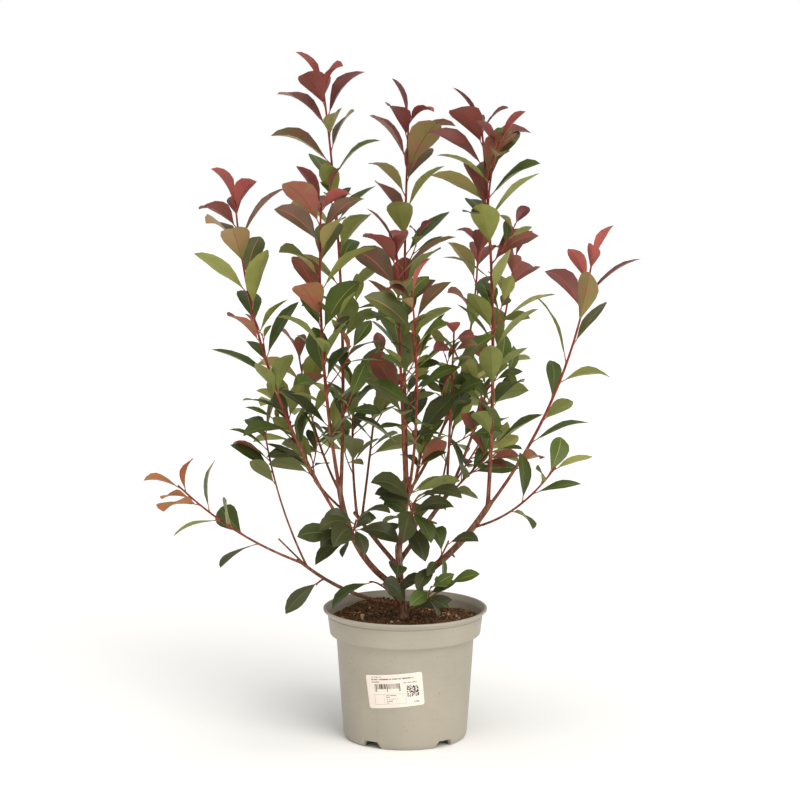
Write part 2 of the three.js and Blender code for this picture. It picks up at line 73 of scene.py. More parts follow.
# The pot
POT_HEIGHT = 180
RIM_RADIUS = 112.5
COLLAR_TOP_RADIUS = 106.5
COLLAR_FOOT_RADIUS = 103.3
BODY_TOP_RADIUS = 94.6
BODY_FOOT_RADIUS = 85.3
COLLAR_TOP = 171
COLLAR_FOOT = 145
BODY_TOP = 140.8
FOOT_CORNER = 6
RIM_EDGE = 3.5
RIM_WIDTH = 3.5
WALL = 1.6
CHANNEL_HEIGHT = 10
CHANNEL_INNER_RADIUS = 55
CHANNEL_OUTER_RADIUS = 77
CENTRE_PAD_RADIUS = 52
NOTCH_COUNT = 5
NOTCH_HEIGHT = 9.6
NOTCH_FOOT_WIDTH = 29
NOTCH_HEAD_WIDTH = 19
FOOT_RING_RADIUS = 82.2
FRONT_FOOT_DEGREES = 3

# The soil and the label
GAP = 0.3
SOIL_EDGE_HEIGHT = 163
SOIL_CROWN_HEIGHT = 165
LABEL_WIDTH = 78
LABEL_HEIGHT = 46.5
LABEL_THICKNESS = 0.4
LABEL_CORNER = 3
LABEL_TURN_DEGREES = -9.2
LABEL_TILT_DEGREES = 6
LABEL_MIDDLE_HEIGHT = 84.4

# The plant
TRUNK_DIAMETER = 12
TRUNK_TOP_DIAMETER = 9.6
ROOT_FLARE = 1.8
ROOT_FLARE_HEIGHT = 9
TRUNK_SIDES = 8
BOUGH_SIDES = 6
TWIG_SIDES = 3
LIMB_STEP = 34
LEAF_TURN = 137.5
LEAF_TURN_SPREAD = 16
LEAF_LEAN = {"old": 45, "young": 36, "spread": 10}
LEAF_CURL = {"old": 26, "young": 66, "spread": 20}
LEAF_ROLL_SPREAD = 30
LEAF_LENGTH_SHARES = (0.84, 1.1)
LONGEST_AT = 0.7
SHORTENING = 0.15
DROOP_ENDS_AT = 0.4
LEAF_WIDTH_SHARE = 0.45
LEAF_KEEL_SHARE = 0.02
LEAF_STATIONS = ((0.33, 0.84), (0.68, 0.92))
LEAF_STALK_RADIUS = 0.8
LEAF_CROWDING = 1.45
FIRST_LEAF_AT = 0.03
LAST_LEAF_AT = 0.99
TOP_LEAF_UPRIGHT = 0.55
TIP_LEAF_SHARES = (0.72, 0.64, 0.7)
LEAF_TURNS_LATE = 1.7
POT_MOUTH_RADIUS = 96
CLEAR_OF_SOIL = 170
CLEAR_OF_RIM = 183
SEED_STEP = 97
SHOOT_SEED = 101
SIDE_TWIG_SEED = 53
BETWEEN_SEED = 211
SPRIG_SEED = 37
SECOND_TRIES = [(0, 1), (55, 0.95), (-55, 0.95), (110, 0.85), (-110, 0.8)]
TIP_YOUTH = {"red": 1, "russet": 1, "green": 0.62, "old": 0.15}
OLDEST_LEAN = {"red": 0, "russet": 8, "green": 0, "old": 12}
OLDEST_DROOP = {"red": 0.15, "russet": 0.15, "green": 0.2, "old": 1.2}
SPARSE_SHOOTS = ("low_left_tip", "low_left_rise", "right_low", "right_outer")
OPEN_SHOOTS = (*SPARSE_SHOOTS, "centre_front", "centre_near", "right_rear", "rear_right_tall")
# How broad a shoot's leaves are beside the others, and how much redder.
SHOOT_LOOKS = {"right_outer": (0.72, 0.16), "low_left_rise": (0.85, 0), "low_left_tip": (1.15, 0)}

TRUNK_FOOT = (-3, 0, SOIL_CROWN_HEIGHT + GAP)
TRUNK_TOP = (-9, 0, 265)
TRUNK_BOW = (-1, 0, 0)

# Bare boughs: name, what it springs from and how far along, its tip, the bow of its middle,
# and its diameters at the foot and the tip.
BOUGHS = [
    ("left_bough", "trunk", 0.4, (-90, -50, 365), (-15, -15, -15), 9, 7.5),
    ("right_bough", "trunk", 0.42, (115, -50, 335), (5, -10, -10), 10, 8),
    ("rear_left_bough", "trunk", 0.7, (-70, 60, 300), (0, 0, -2), 6.5, 5.5),
    ("rear_right_bough", "trunk", 0.78, (65, 60, 335), (0, 0, 0), 7, 6),
    ("leader", "trunk", 0.97, (5, -10, 345), (0, 0, 0), 8, 6.6),
    ("low_left_bough", "trunk", 0.16, (-145, -45, 255), (-5, 0, -10), 5.5, 4.5),
]

# Leafy shoots: the same first columns, then the share of it that is bare, its number of leaves,
# the length of a full leaf, the turn of its top leaf in degrees (0 is backward, 90 is left), and its growth.
SHOOTS = [
    ("left_front", "left_bough", 0.95, (-110, -95, 740), (-10, -8, 0), 5.2, 2.5, 0.1, 20, 98, 100, "red"),
    ("left_tall", "left_bough", 0.9, (-113, 85, 892), (12, 30, -5), 5.2, 2.5, 0.13, 24, 98, 85, "red"),
    ("left_outer", "left_bough", 0.5, (-226, -40, 740), (-30, -20, -10), 4.8, 2.4, 0.2, 19, 94, 80, "red"),
    ("left_rear", "left_bough", 0.92, (-150, 120, 520), (-5, 10, -15), 3.6, 2.4, 0.25, 9, 82, 60, "red"),
    ("left_inner", "left_bough", 0.8, (-165, 45, 465), (-15, 0, -10), 3.4, 2.4, 0.3, 9, 82, 120, "green"),
    ("rear_left", "rear_left_bough", 0.95, (-70, 110, 475), (-5, 5, 0), 4, 2.4, 0.3, 8, 82, 300, "green"),
    ("rear_left_tall", "rear_left_bough", 0.85, (-35, 165, 505), (0, 18, -10), 3.8, 2.4,
     0.35, 8, 84, 30, "red"),
    ("centre_tall", "leader", 0.86, (5, 100, 850), (-5, 20, -5), 5.2, 2.5, 0.16, 22, 98, 95, "red"),
    ("centre_front", "leader", 0.72, (-12, -95, 688), (0, -17, -5), 5, 2.5, 0.18, 17, 96, 70, "red"),
    ("centre_near", "leader", 0.9, (8, -150, 630), (9, -19, -9), 4.4, 2.4, 0.25, 12, 88, 250, "red"),
    ("centre_short", "leader", 0.8, (22, 45, 410), (6, 0, 0), 3.2, 2.4, 0, 7, 78, 90, "green"),
    ("rear_right_tall", "leader", 0.95, (103, 150, 680), (24, 35, -24), 4.4, 2.4, 0.25, 13, 86, 290, "red"),
    ("right_inner", "rear_right_bough", 0.9, (64, -95, 570), (0, 0, 0), 4, 2.4, 0.3, 9, 84, 100, "red"),
    ("right_rear", "rear_right_bough", 0.96, (155, 165, 650), (12, 14, -8), 4.4, 2.4,
     0.2, 12, 84, 265, "red"),
    ("rear_twig", "rear_right_bough", 0.93, (115, 115, 407), (0, -5, 0), 3, 2.2, 0, 5, 72, 300, "green"),
    ("near_twig", "rear_right_bough", 0.84, (115, 5, 396), (3, 5, 0), 3, 2.2, 0, 6, 72, 250, "green"),
    ("back_twig", "rear_right_bough", 0.72, (77, 150, 447), (0, -8, 5), 3, 2.2, 0.3, 6, 74, 80, "green"),
    ("right_tall", "right_bough", 0.96, (101, -10, 843), (11, 0, 0), 5.6, 2.6, 0.1, 23, 97, 95, "red"),
    ("right_outer", "right_bough", 0.9, (250, -20, 658), (22, -9, -9), 4.8, 2.4, 0.15, 13, 110, 217, "red"),
    ("right_low", "right_bough", 0.78, (196, -140, 398), (3, -8, -12), 3.6, 2.4, 0.35, 6, 70, 240, "green"),
    ("low_left_tip", "low_left_bough", 0.96, (-303, -75, 362), (-5, -5, -8), 3.6, 2.4,
     0.25, 9, 86, 120, "russet"),
    ("low_left_rise", "low_left_bough", 0.9, (-190, -15, 425), (-7, -2, -2), 3, 2.2,
     0.55, 6, 82, 250, "green"),
    ("basal_sprig", "trunk", 0.06, (62, -60, 229), (2, 0, -3), 2.8, 2.2, 0, 4, 58, 285, "green"),
    ("spray_low_left", "low_left_bough", 0.7, (-120, -52, 222), (0, 0, 3), 2.8, 2.2, 0, 1, 92, 75, "old"),
    ("spray_rim", "trunk", 0.14, (-48, -50, 226), (-2, -12, 12), 3, 2.2, 0, 3, 92, 10, "old"),
    ("spray_trunk", "trunk", 0.45, (-12, -44, 260), (0, 0, -2), 2.8, 2.2, 0, 1, 104, 115, "old"),
    ("spray_leader", "leader", 0.35, (14, -50, 338), (0, -4, -2), 3, 2.4, 0, 6, 96, 246, "old"),
    ("spray_left", "left_bough", 0.62, (-66, -68, 314), (0, -2, -2), 3, 2.4, 0, 5, 86, 235, "old"),
    ("spray_left_outer", "left_bough", 0.54, (-88, -62, 290), (0, 0, 3), 2.8, 2.2, 0, 2, 74, 300, "old"),
    ("spray_rear", "rear_right_bough", 0.35, (4, 62, 322), (0, 4, -2), 3, 2.4, 0, 5, 84, 20, "old"),
    ("spray_right", "right_bough", 0.3, (58, -66, 285), (0, -4, -4), 3, 2.4, 0, 3, 72, 255, "old"),
]
SIDE_TWIGS = [
    ("right_upper", "right_tall", 0.66, (124, -60, 820), (-8, 9, 3), 3, 2.4, 0.08, 8, 92, 280, "red"),
]
# Cut stubs and a bud on the bare wood, with the columns of the boughs.
STUBS = [
    ("low_left_stub", "low_left_bough", 0.9, (-171, -42, 283), (0, 0, 0), 2.8, 2.4),
    ("left_stub", "left_bough", 0.72, (-91, -54, 311), (0, 0, 0), 3.4, 3),
    ("left_outer_stub", "left_outer", 0.18, (-122, -56, 366), (0, 0, 0), 3.6, 3.2),
    ("right_bud", "right_bough", 0.52, (66.7, -37.8, 257.4), (0, 0, 0), 3, 2.2),
    ("rear_right_stub", "rear_right_bough", 0.55, (43, 34, 290), (0, 0, 0), 3.2, 2.8),
]
LIMB_COLUMNS = "name parent place tip bow foot_width tip_width bare leaves leaf_length top_turn growth"
Limb = namedtuple("Limb", LIMB_COLUMNS, defaults=[0] * 5)
BOUGHS, SHOOTS, SIDE_TWIGS, STUBS = (
    [Limb(*row) for row in rows] for rows in (BOUGHS, SHOOTS, SIDE_TWIGS, STUBS)
)

# A shape is its points, the point of each face corner, and each face's number of corners and finish.
Shape = namedtuple("Shape", "points corners sizes finish")


def mix(start, stop, share):
    return start + (stop - start) * share


def spread(most, roll):
    return mix(-most, most, roll)


def unit(arrows):
    return arrows / np.linalg.norm(arrows, axis=-1, keepdims=True)


def dot(one, other):
    return np.sum(one * other, axis=-1, keepdims=True)


def swung(one, other, angle):
    """A direction swung by an angle from one towards another square to it."""
    return one * math.cos(angle) + other * math.sin(angle)


def dice(seed, count):
    """The same chain of numbers from 0 to 1 for the same seed: each state is 9301 times the last
    plus 49297, modulo 233280, and the number is its share of 233280."""
    state, rolls = seed, []
    for _ in range(count):
        state = (state * 9301 + 49297) % 233280
        rolls.append(state / 233280)
    return rolls


def ripple(points, size, seed):
    """Smooth unevenness from -1 to 1 over points in space: the mean of sine waves that run in random
    directions, with wavelengths near the given size."""
    rng = np.random.default_rng(seed)
    ways = unit(rng.normal(size=(RIPPLE_WAVES, 3)))
    lengths = size * rng.uniform(*RIPPLE_LENGTHS, (RIPPLE_WAVES, 1))
    phases = rng.uniform(0, 2 * np.pi, RIPPLE_WAVES)
    waves = np.sin(points @ (ways * (2 * np.pi / lengths)).T + phases)
    return waves.mean(axis=-1) * math.sqrt(RIPPLE_WAVES) / RIPPLE_PEAK


def join(shapes):
    """Many shapes as one, with the corners' point numbers moved on past the points before them."""
    starts = np.cumsum([0] + [len(shape.points) for shape in shapes[:-1]])
    moved = [shape._replace(corners=shape.corners + start) for shape, start in zip(shapes, starts)]
    return Shape(*(np.concatenate(parts) for parts in zip(*moved)))


def repeated(points, corners, sizes, finish):
    """The same faces over each row of points."""
    count, each = points.shape[:2]
    moved = np.arange(count)[:, None] * each + corners
    return Shape(points.reshape(-1, 3), moved.ravel(), np.tile(sizes, count), np.tile(finish, count))


def plain_faces(faces):
    """Equal faces of one finish, for repeated()."""
    count, each = np.shape(faces)
    return np.ravel(faces), np.full(count, each), np.zeros(count, int)


def add_piece(name, shape, finishes, nodes, crease=55):
    """One mesh, smooth except across edges that turn by more than the crease angle."""
    mesh = bpy.data.meshes.new(name)
    mesh.vertices.add(len(shape.points))
    mesh.vertices.foreach_set("co", (shape.points * MM).astype(np.float32).ravel())
    mesh.loops.add(len(shape.corners))
    mesh.loops.foreach_set("vertex_index", shape.corners.astype(np.int32))
    mesh.polygons.add(len(shape.sizes))
    mesh.polygons.foreach_set("loop_start", (np.cumsum(shape.sizes) - shape.sizes).astype(np.int32))
    mesh.polygons.foreach_set("material_index", shape.finish.astype(np.int32))
    mesh.update(calc_edges=True)
    mesh.shade_smooth()
    mesh.set_sharp_from_angle(angle=math.radians(crease))
    for made in finishes:
        mesh.materials.append(made)
    piece = bpy.data.objects.new(name, mesh)
    bpy.context.collection.objects.link(piece)
    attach(piece, "root")
    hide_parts(*nodes)
    return piece


def surface_of(points, flip=False):
    """A closed surface over a grid of points: rows along, columns round, and one face at each end."""
    rows, columns = points.shape[:2]
    here = np.arange(rows - 1)[:, None] * columns
    near = np.arange(columns)
    far = (near + 1) % columns
    grid = [here + near, here + far, here + columns + far, here + columns + near]
    quads = np.stack(grid, -1).reshape(-1, 4)
    first, last = near[::-1], near + (rows - 1) * columns
    if flip:
        quads, first, last = quads[:, ::-1], first[::-1], last[::-1]
    corners = np.concatenate([quads.ravel(), last, first])
    sizes = np.array([4] * len(quads) + [columns] * 2)
    return Shape(points.reshape(-1, 3), corners, sizes, np.zeros(len(sizes), int))


def round_places(turn, radius, height):
    """Places round the upright axis: radius sin(turn) to the right and radius cos(turn) to the front."""
    return np.stack(np.broadcast_arrays(radius * np.sin(turn), -radius * np.cos(turn), height), -1)


def rounded(corners, easing):
    """An outline whose corners are eased: each corner c becomes the curve
    (1-t)^2 a + 2t(1-t) c + t^2 b, with a and b on its two sides at the easing distance."""
    inner = corners[1:-1]
    before, after = corners[:-2] - inner, corners[2:] - inner
    nearly_half = EASE_SHARE * np.minimum(np.linalg.norm(before, axis=1), np.linalg.norm(after, axis=1))
    ease = np.minimum(easing, nearly_half)[:, None]
    a, b = inner + unit(before) * ease, inner + unit(after) * ease
    t = np.linspace(0, 1, EASE_POINTS)[None, :, None]
    curve = (1 - t) ** 2 * a[:, None] + 2 * t * (1 - t) * inner[:, None] + t ** 2 * b[:, None]
    return np.concatenate([corners[:1], curve.reshape(-1, 2), corners[-1:]])


# Limbs

def limb_from(row, start):
    """A limb's axis is the curve (1-t)^2 foot + 2t(1-t) knee + t^2 tip, with an even taper."""
    foot, tip = np.array(start, float), np.array(row.tip, float)
    limb = {
        "foot": foot,
        "knee": (foot + tip) / 2 + 2 * np.array(row.bow, float),
        "tip": tip,
        "widths": (row.foot_width, row.tip_width),
        "flare": 0,
    }
    steps = on_axis(limb, np.linspace(0, 1, LENGTH_POINTS))
    limb["length"] = np.linalg.norm(np.diff(steps, axis=0), axis=1).sum()
    return limb


def on_axis(limb, t):
    t = np.asarray(t, float)[..., None]
    return (1 - t) ** 2 * limb["foot"] + 2 * t * (1 - t) * limb["knee"] + t ** 2 * limb["tip"]


def spokes_at(limb, t):
    """The heading at t, the direction square to it that is most backward, and the one beside that."""
    share = np.asarray(t, float)[..., None]
    along = unit(mix(limb["knee"] - limb["foot"], limb["tip"] - limb["knee"], share))
    back = unit(BACKWARD - dot(along, BACKWARD) * along)
    return along, back, np.cross(along, back)


def spokes_round(one, other, sides):
    """Directions to the sides of a tube, from two directions square to it at each place along it."""
    angle = np.arange(sides) / sides * 2 * np.pi
    return one[..., None, :] * np.cos(angle)[:, None] + other[..., None, :] * np.sin(angle)[:, None]


def radius_at(limb, t):
    flare = limb["flare"] * np.exp(-np.maximum(t, 0) * limb["length"] / ROOT_FLARE_HEIGHT)
    return mix(*limb["widths"], t) / 2 + flare


def plain_skin(rings):
    """The triangles of a closed skin over rings of points, every other strip split the other way."""
    sizes = [len(ring) for ring in rings]
    points = np.concatenate(rings)
    faces, here = [], 0
    for near, far in zip(sizes[:-1], sizes[1:]):
        ahead = here + near
        strips = max(near, far)
        for j in range(strips):
            k = (j + 1) % strips
            a, b, c, d = here + j % near, here + k % near, ahead + k % far, ahead + j % far
            if far == 1:
                faces.append((a, b, c))
            elif j % 2 == 0:
                faces += [(a, b, c), (a, c, d)]
            else:
                faces += [(a, b, d), (b, c, d)]
        here = ahead
    faces += [(0, j + 1, j) for j in range(1, sizes[0] - 1)]
    faces += [(here, here + j, here + j + 1) for j in range(1, sizes[-1] - 1)]
    return points[np.array(faces)]


def plain_tube(limb, start, stop, sides, grown=0.0):
    """The few-sided tube that a limb keeps free of leaves."""
    ends = grown / limb["length"]
    steps = max(2, math.ceil((stop - start) * limb["length"] / LIMB_STEP))
    t = mix(start - ends, stop + ends, np.arange(steps + 1) / steps)
    _, back, side = spokes_at(limb, t)
    fullness = math.sqrt(2 * math.pi / (sides * math.sin(2 * math.pi / sides)))
    radius = radius_at(limb, t) * fullness + grown
    spokes = spokes_round(back, side, sides) * radius[:, None, None]
    return plain_skin(list(on_axis(limb, t)[:, None] + spokes))


trunk = Limb("trunk", None, 0, TRUNK_TOP, TRUNK_BOW, TRUNK_DIAMETER, TRUNK_TOP_DIAMETER)
limbs = {"trunk": limb_from(trunk, TRUNK_FOOT)}
limbs["trunk"]["flare"] = ROOT_FLARE
for row in [*BOUGHS, *SHOOTS, *SIDE_TWIGS, *STUBS]:
    limbs[row.name] = limb_from(row, on_axis(limbs[row.parent], row.place))


# Where leaves may stand

LEVEL_LIMIT = 1e-9


class Room:
    """The triangles that nothing new may touch, each with its owner and the box round it."""

    def __init__(self):
        self.triangles = np.zeros((0, 3, 3))
        self.owners = np.zeros(0, int)

    def fill(self, owner, triangles):
        self.triangles = np.concatenate([self.triangles, triangles])
        self.owners = np.concatenate([self.owners, np.full(len(triangles), owner)])

    def free(self, triangles, ignored=-1):
        """True if no edge of either set of triangles passes through a triangle of the other."""
        low, high = triangles.min(axis=(0, 1)), triangles.max(axis=(0, 1))
        near = (self.triangles.min(axis=1) <= high).all(axis=1)
        near &= (self.triangles.max(axis=1) >= low).all(axis=1)
        near &= self.owners != ignored
        others = self.triangles[near]
        return not (edges_pierce(triangles, others) or edges_pierce(others, triangles))


def edges_pierce(cutting, cut):
    """Whether any edge of the first triangles passes through any of the second. An edge a to b meets
    a triangle where a + share (b - a) has weights u and v on its sides, all of them from 0 to 1."""
    if len(cutting) == 0 or len(cut) == 0:
        return False
    start = cutting.reshape(-1, 3)[:, None]
    way = np.roll(cutting, -1, axis=1).reshape(-1, 3)[:, None] - start
    corner = cut[None, :, 0]
    one, two = cut[None, :, 1] - corner, cut[None, :, 2] - corner
    across = np.cross(way, two)
    size = np.sum(one * across, axis=-1)
    level = np.abs(size) < LEVEL_LIMIT
    safe = np.where(level, np.inf, size)
    offset = start - corner
    u = np.sum(offset * across, axis=-1) / safe
    lift = np.cross(offset, one)
    v = np.sum(way * lift, axis=-1) / safe
    share = np.sum(two * lift, axis=-1) / safe
    inside = (u >= 0) & (u <= 1) & (v >= 0) & (u + v <= 1) & (share >= 0) & (share <= 1)
    return bool((inside & ~level).any())


def clear_of_pot(triangles):
    points = triangles.reshape(-1, 3)
    floor = np.where(np.hypot(points[:, 0], points[:, 1]) < POT_MOUTH_RADIUS, CLEAR_OF_SOIL, CLEAR_OF_RIM)
    return bool((points[:, 2] > floor).all())


def leaf_plan(row, seed, count=None, full_share=1.0, extra_turn=0.0):
    """The leaves of a shoot by rule: a spiral that closes up towards the tip. Young leaves point up
    and their tips roll outwards, old ones lean out and droop."""
    growth = row.growth
    count = row.leaves if count is None else count
    rolls = np.array(dice(seed, 5 * count)).reshape(count, 5)
    plan = []
    for i, (turn_roll, size_roll, lean_roll, curl_roll, roll_roll) in enumerate(rolls):
        rise = (i + 0.5) / count
        youth = rise * TIP_YOUTH[growth]
        from_tip = count - 1 - i
        upright = TOP_LEAF_UPRIGHT if from_tip == 0 else 1
        lean = mix(LEAF_LEAN["old"] + OLDEST_LEAN[growth], LEAF_LEAN["young"], youth)
        lean = (lean + spread(LEAF_LEAN["spread"], lean_roll)) * upright
        curl = mix(LEAF_CURL["old"], LEAF_CURL["young"], youth ** 2)
        curl = (curl + spread(LEAF_CURL["spread"], curl_roll)) * upright
        length = row.leaf_length * full_share * mix(*LEAF_LENGTH_SHARES, size_roll)
        if growth in ("red", "russet") and from_tip < len(TIP_LEAF_SHARES):
            length *= TIP_LEAF_SHARES[from_tip]
        place = mix(FIRST_LEAF_AT, LAST_LEAF_AT, 1 - (1 - rise) ** LEAF_CROWDING)
        plan.append({
            "t": mix(row.bare, 1, place),
            "youth": youth,
            "turn": row.top_turn + extra_turn + from_tip * LEAF_TURN + spread(LEAF_TURN_SPREAD, turn_roll),
            "length": length * (1 - SHORTENING * abs(youth - LONGEST_AT)),
            "lean": math.radians(lean),
            "curl": math.radians(curl),
            "droop": OLDEST_DROOP[growth] * max(0, 1 - youth / DROOP_ENDS_AT),
            "roll": math.radians(spread(LEAF_ROLL_SPREAD, roll_roll)),
            "growth": growth,
            "looks": SHOOT_LOOKS.get(row.name, (1, 0)),
            "chance": (turn_roll + size_roll * 7 + curl_roll * 3) % 1,
        })
    return plan


def place_leaf(limb, plan, extra_turn, shrink):
    along, back, side = spokes_at(limb, plan["t"])
    out = swung(back, side, math.radians(plan["turn"] + extra_turn))
    return {
        "seat": on_axis(limb, plan["t"]),
        "first": swung(along, out, plan["lean"]),
        "last": unit(swung(along, out, plan["lean"] + plan["curl"]) - UP * plan["droop"]),
        "side": np.cross(along, out),
        "roll": plan["roll"],
        "length": plan["length"] * shrink,
        **{key: plan[key] for key in ("youth", "growth", "looks", "chance")},
    }


def rib_and_axes(leaf, share):
    """The rib of a leaf and its axes at shares s of its length. The rib starts along one direction and
    turns to another as s^p, so it is seat + length (first (s - q) + last q) with q = s^(p+1) / (p+1)."""
    pick = lambda key: np.asarray(leaf[key], float)[..., None, :]
    first, last, side = pick("first"), pick("last"), pick("side")
    s = np.asarray(share, float)[:, None]
    length = np.asarray(leaf["length"], float)[..., None, None]
    roll = np.asarray(leaf["roll"], float)[..., None, None]
    turned = s ** (LEAF_TURNS_LATE + 1) / (LEAF_TURNS_LATE + 1)
    rib = pick("seat") + length * (first * (s - turned) + last * turned)
    along = unit(mix(first, last, s ** LEAF_TURNS_LATE))
    level = unit(side - dot(side, along) * along)
    across = level * np.cos(roll) + np.cross(along, level) * np.sin(roll)
    return rib, along, across, np.cross(along, across)


def plain_leaf(leaf):
    """The eight-faced leaf that the clearance is measured with."""
    rib, _, across, up = rib_and_axes(leaf, [0, *(share for share, _ in LEAF_STATIONS), 1])
    half = leaf["length"] * LEAF_WIDTH_SHARE / 2
    widths = [LEAF_STALK_RADIUS, *(half * fullness for _, fullness in LEAF_STATIONS)]
    keels = [LEAF_STALK_RADIUS, leaf["length"] * LEAF_KEEL_SHARE, leaf["length"] * LEAF_KEEL_SHARE]
    rings = [
        np.array([rib[i] + across[i] * w, rib[i] - across[i] * w, rib[i] - up[i] * k])
        for i, (w, k) in enumerate(zip(widths, keels))
    ]
    return plain_skin([*rings, rib[3:4]])


room = Room()
NO_OWNER = len(SHOOTS)
room.fill(NO_OWNER, plain_tube(limbs["trunk"], 0, 1, TRUNK_SIDES, GAP))
for row in BOUGHS:
    room.fill(NO_OWNER, plain_tube(limbs[row.name], 0, 1, BOUGH_SIDES, GAP))
for row in SHOOTS:
    if row.bare > 0:
        room.fill(NO_OWNER, plain_tube(limbs[row.name], 0, row.bare, BOUGH_SIDES, GAP))
for number, row in enumerate(SHOOTS):
    start = row.bare + GAP / limbs[row.name]["length"] if row.bare > 0 else 0
    room.fill(number, plain_tube(limbs[row.name], start, 1, TWIG_SIDES))
leaves = []


def grow_leaves(limb, plans, owner):
    """Leaves set one after another where nothing is in the way, at the first of the turns that is free."""
    for plan in plans:
        for extra_turn, shrink in SECOND_TRIES:
            leaf = place_leaf(limb, plan, extra_turn, shrink)
            triangles = plain_leaf(leaf)
            if clear_of_pot(triangles) and room.free(triangles, owner):
                room.fill(owner, triangles)
                leaves.append(leaf)
                break


for number, row in enumerate(SHOOTS):
    grow_leaves(limbs[row.name], leaf_plan(row, SHOOT_SEED + SEED_STEP * number), number)
    for twig in SIDE_TWIGS:
        if twig.parent == row.name:
            grow_leaves(limbs[twig.name], leaf_plan(twig, SIDE_TWIG_SEED + SEED_STEP * number), number)


# Finer growth inside the same reach: short sprigs from the shoots, and small leaves between the others.

SPRIG_EVERY = 5
SPRIG_PLACES = (0.06, 0.66)
SPRIG_LENGTHS = (34, 66)
SPRIG_LEAN = 44
SPRIG_LEAN_SPREAD = 12
SPRIG_LIFT = 0.35
SPRIG_BOW_SHARE = 0.06
SPRIG_WIDTHS = (2.0, 1.4)
SPRIG_BARE_SHARE = 0.3
SPRIG_FEWEST_LEAVES = 3
SPRIG_LEAF_LENGTH = 52
SPRIG_CLEAR_FROM = 0.12
SPRIG_SEED_STEP = 13
GREEN_SPRIGS_TO = 0.5
BETWEEN_SHARES = {"red": 0.6, "russet": 0, "green": 1, "old": 0.8}
BETWEEN_SIZE = 0.74
BETWEEN_TURN = 68
BETWEEN_MOVED_ON = 0.012
BETWEEN_TO = 0.97
BETWEEN_BELOW = 590


def grow_sprigs(shoot, number):
    """Short sprigs along a shoot, each left out where something is in its way."""
    limb = limbs[shoot.name]
    sparse = shoot.growth == "old" or shoot.name in SPARSE_SHOOTS
    wanted = 0 if sparse else round(shoot.leaves / SPRIG_EVERY)
    seed = SPRIG_SEED + SEED_STEP * number
    rolls = np.array(dice(seed, 4 * wanted)).reshape(wanted, 4)
    for i, (place_roll, turn_roll, size_roll, lean_roll) in enumerate(rolls):
        t = mix(max(shoot.bare, SPRIG_PLACES[0]), SPRIG_PLACES[1], (i + place_roll) / wanted)
        along, back, side = spokes_at(limb, t)
        out = swung(back, side, math.radians(360 * turn_roll + LEAF_TURN * i))
        lean = math.radians(SPRIG_LEAN + spread(SPRIG_LEAN_SPREAD, lean_roll))
        way = unit(swung(along, out, lean) + UP * SPRIG_LIFT)
        foot = on_axis(limb, t)
        reach = mix(*SPRIG_LENGTHS, size_roll)
        row = Limb(
            f"{shoot.name}_sprig_{i}", shoot.name, t, foot + way * reach, out * reach * SPRIG_BOW_SHARE,
            *SPRIG_WIDTHS, SPRIG_BARE_SHARE, SPRIG_FEWEST_LEAVES + round(size_roll), SPRIG_LEAF_LENGTH,
            360 * size_roll, "green" if t < GREEN_SPRIGS_TO else shoot.growth,
        )
        sprig = limb_from(row, foot)
        skin = plain_tube(sprig, SPRIG_CLEAR_FROM, 1, TWIG_SIDES)
        if clear_of_pot(skin) and room.free(skin):
            room.fill(number, skin)
            sprigs.append(sprig)
            grow_leaves(sprig, leaf_plan(row, seed + SPRIG_SEED_STEP * i), number)


def grow_between(shoot, number):
    """Smaller leaves between the others on the lower part of a shoot."""
    limb = limbs[shoot.name]
    count = round(shoot.leaves * BETWEEN_SHARES[shoot.growth])
    plans = leaf_plan(shoot, BETWEEN_SEED + SEED_STEP * number, count, BETWEEN_SIZE, BETWEEN_TURN)[:-1]
    for plan in plans:
        plan["t"] = min(plan["t"] + BETWEEN_MOVED_ON, BETWEEN_TO)
    grow_leaves(limb, [plan for plan in plans if on_axis(limb, plan["t"])[2] < BETWEEN_BELOW], number)


sprigs = []
for row in STUBS:
    room.fill(NO_OWNER, plain_tube(limbs[row.name], 0, 1, TWIG_SIDES))
for number, row in enumerate(SHOOTS):
    grow_sprigs(row, number)
for number, row in enumerate(SHOOTS):
    if row.name not in OPEN_SHOOTS:
        grow_between(row, number)


# Shapes of leaves

BLADE_STARTS_AT = 0.1
BLADE_ROWS = np.array([0.09, 0.27, 0.44, 0.59, 0.74, 0.89])
MID_HALF = 0.52
RIB_HALF = 0.035
BLADE_COLUMNS = np.array([-1, -MID_HALF, -RIB_HALF, RIB_HALF, MID_HALF, 1])
ROW_POINTS = 8
# The columns that each strip of a blade lies between, and its finish: 0 and 1 face up, 2 and 3 face down.
BLADE_STRIPS = [(0, 1, 0), (1, 2, 0), (2, 3, 1), (3, 4, 0), (4, 5, 0), (0, 6, 2), (6, 7, 3), (7, 5, 2)]
OUTLINE_POWERS = (1.28, 0.88)
ARCH = (1.25, 0.5)
WAVES_ALONG = 1.5
OTHER_SIDE_LAG = 1.9
SIDE_VEIN_RELIEF = 0.04
THINNEST_BLADE = 0.35
THICKNESS_SHARES = (0.016, 0.005)
STALK_SIDES = 5
STALK_PLACES = np.array([0.0, 0.05, 0.11, 0.2])
STALK_RADII = np.array([1.15, 0.85, 0.75, 0.3])
STALK_DROP = 0.6


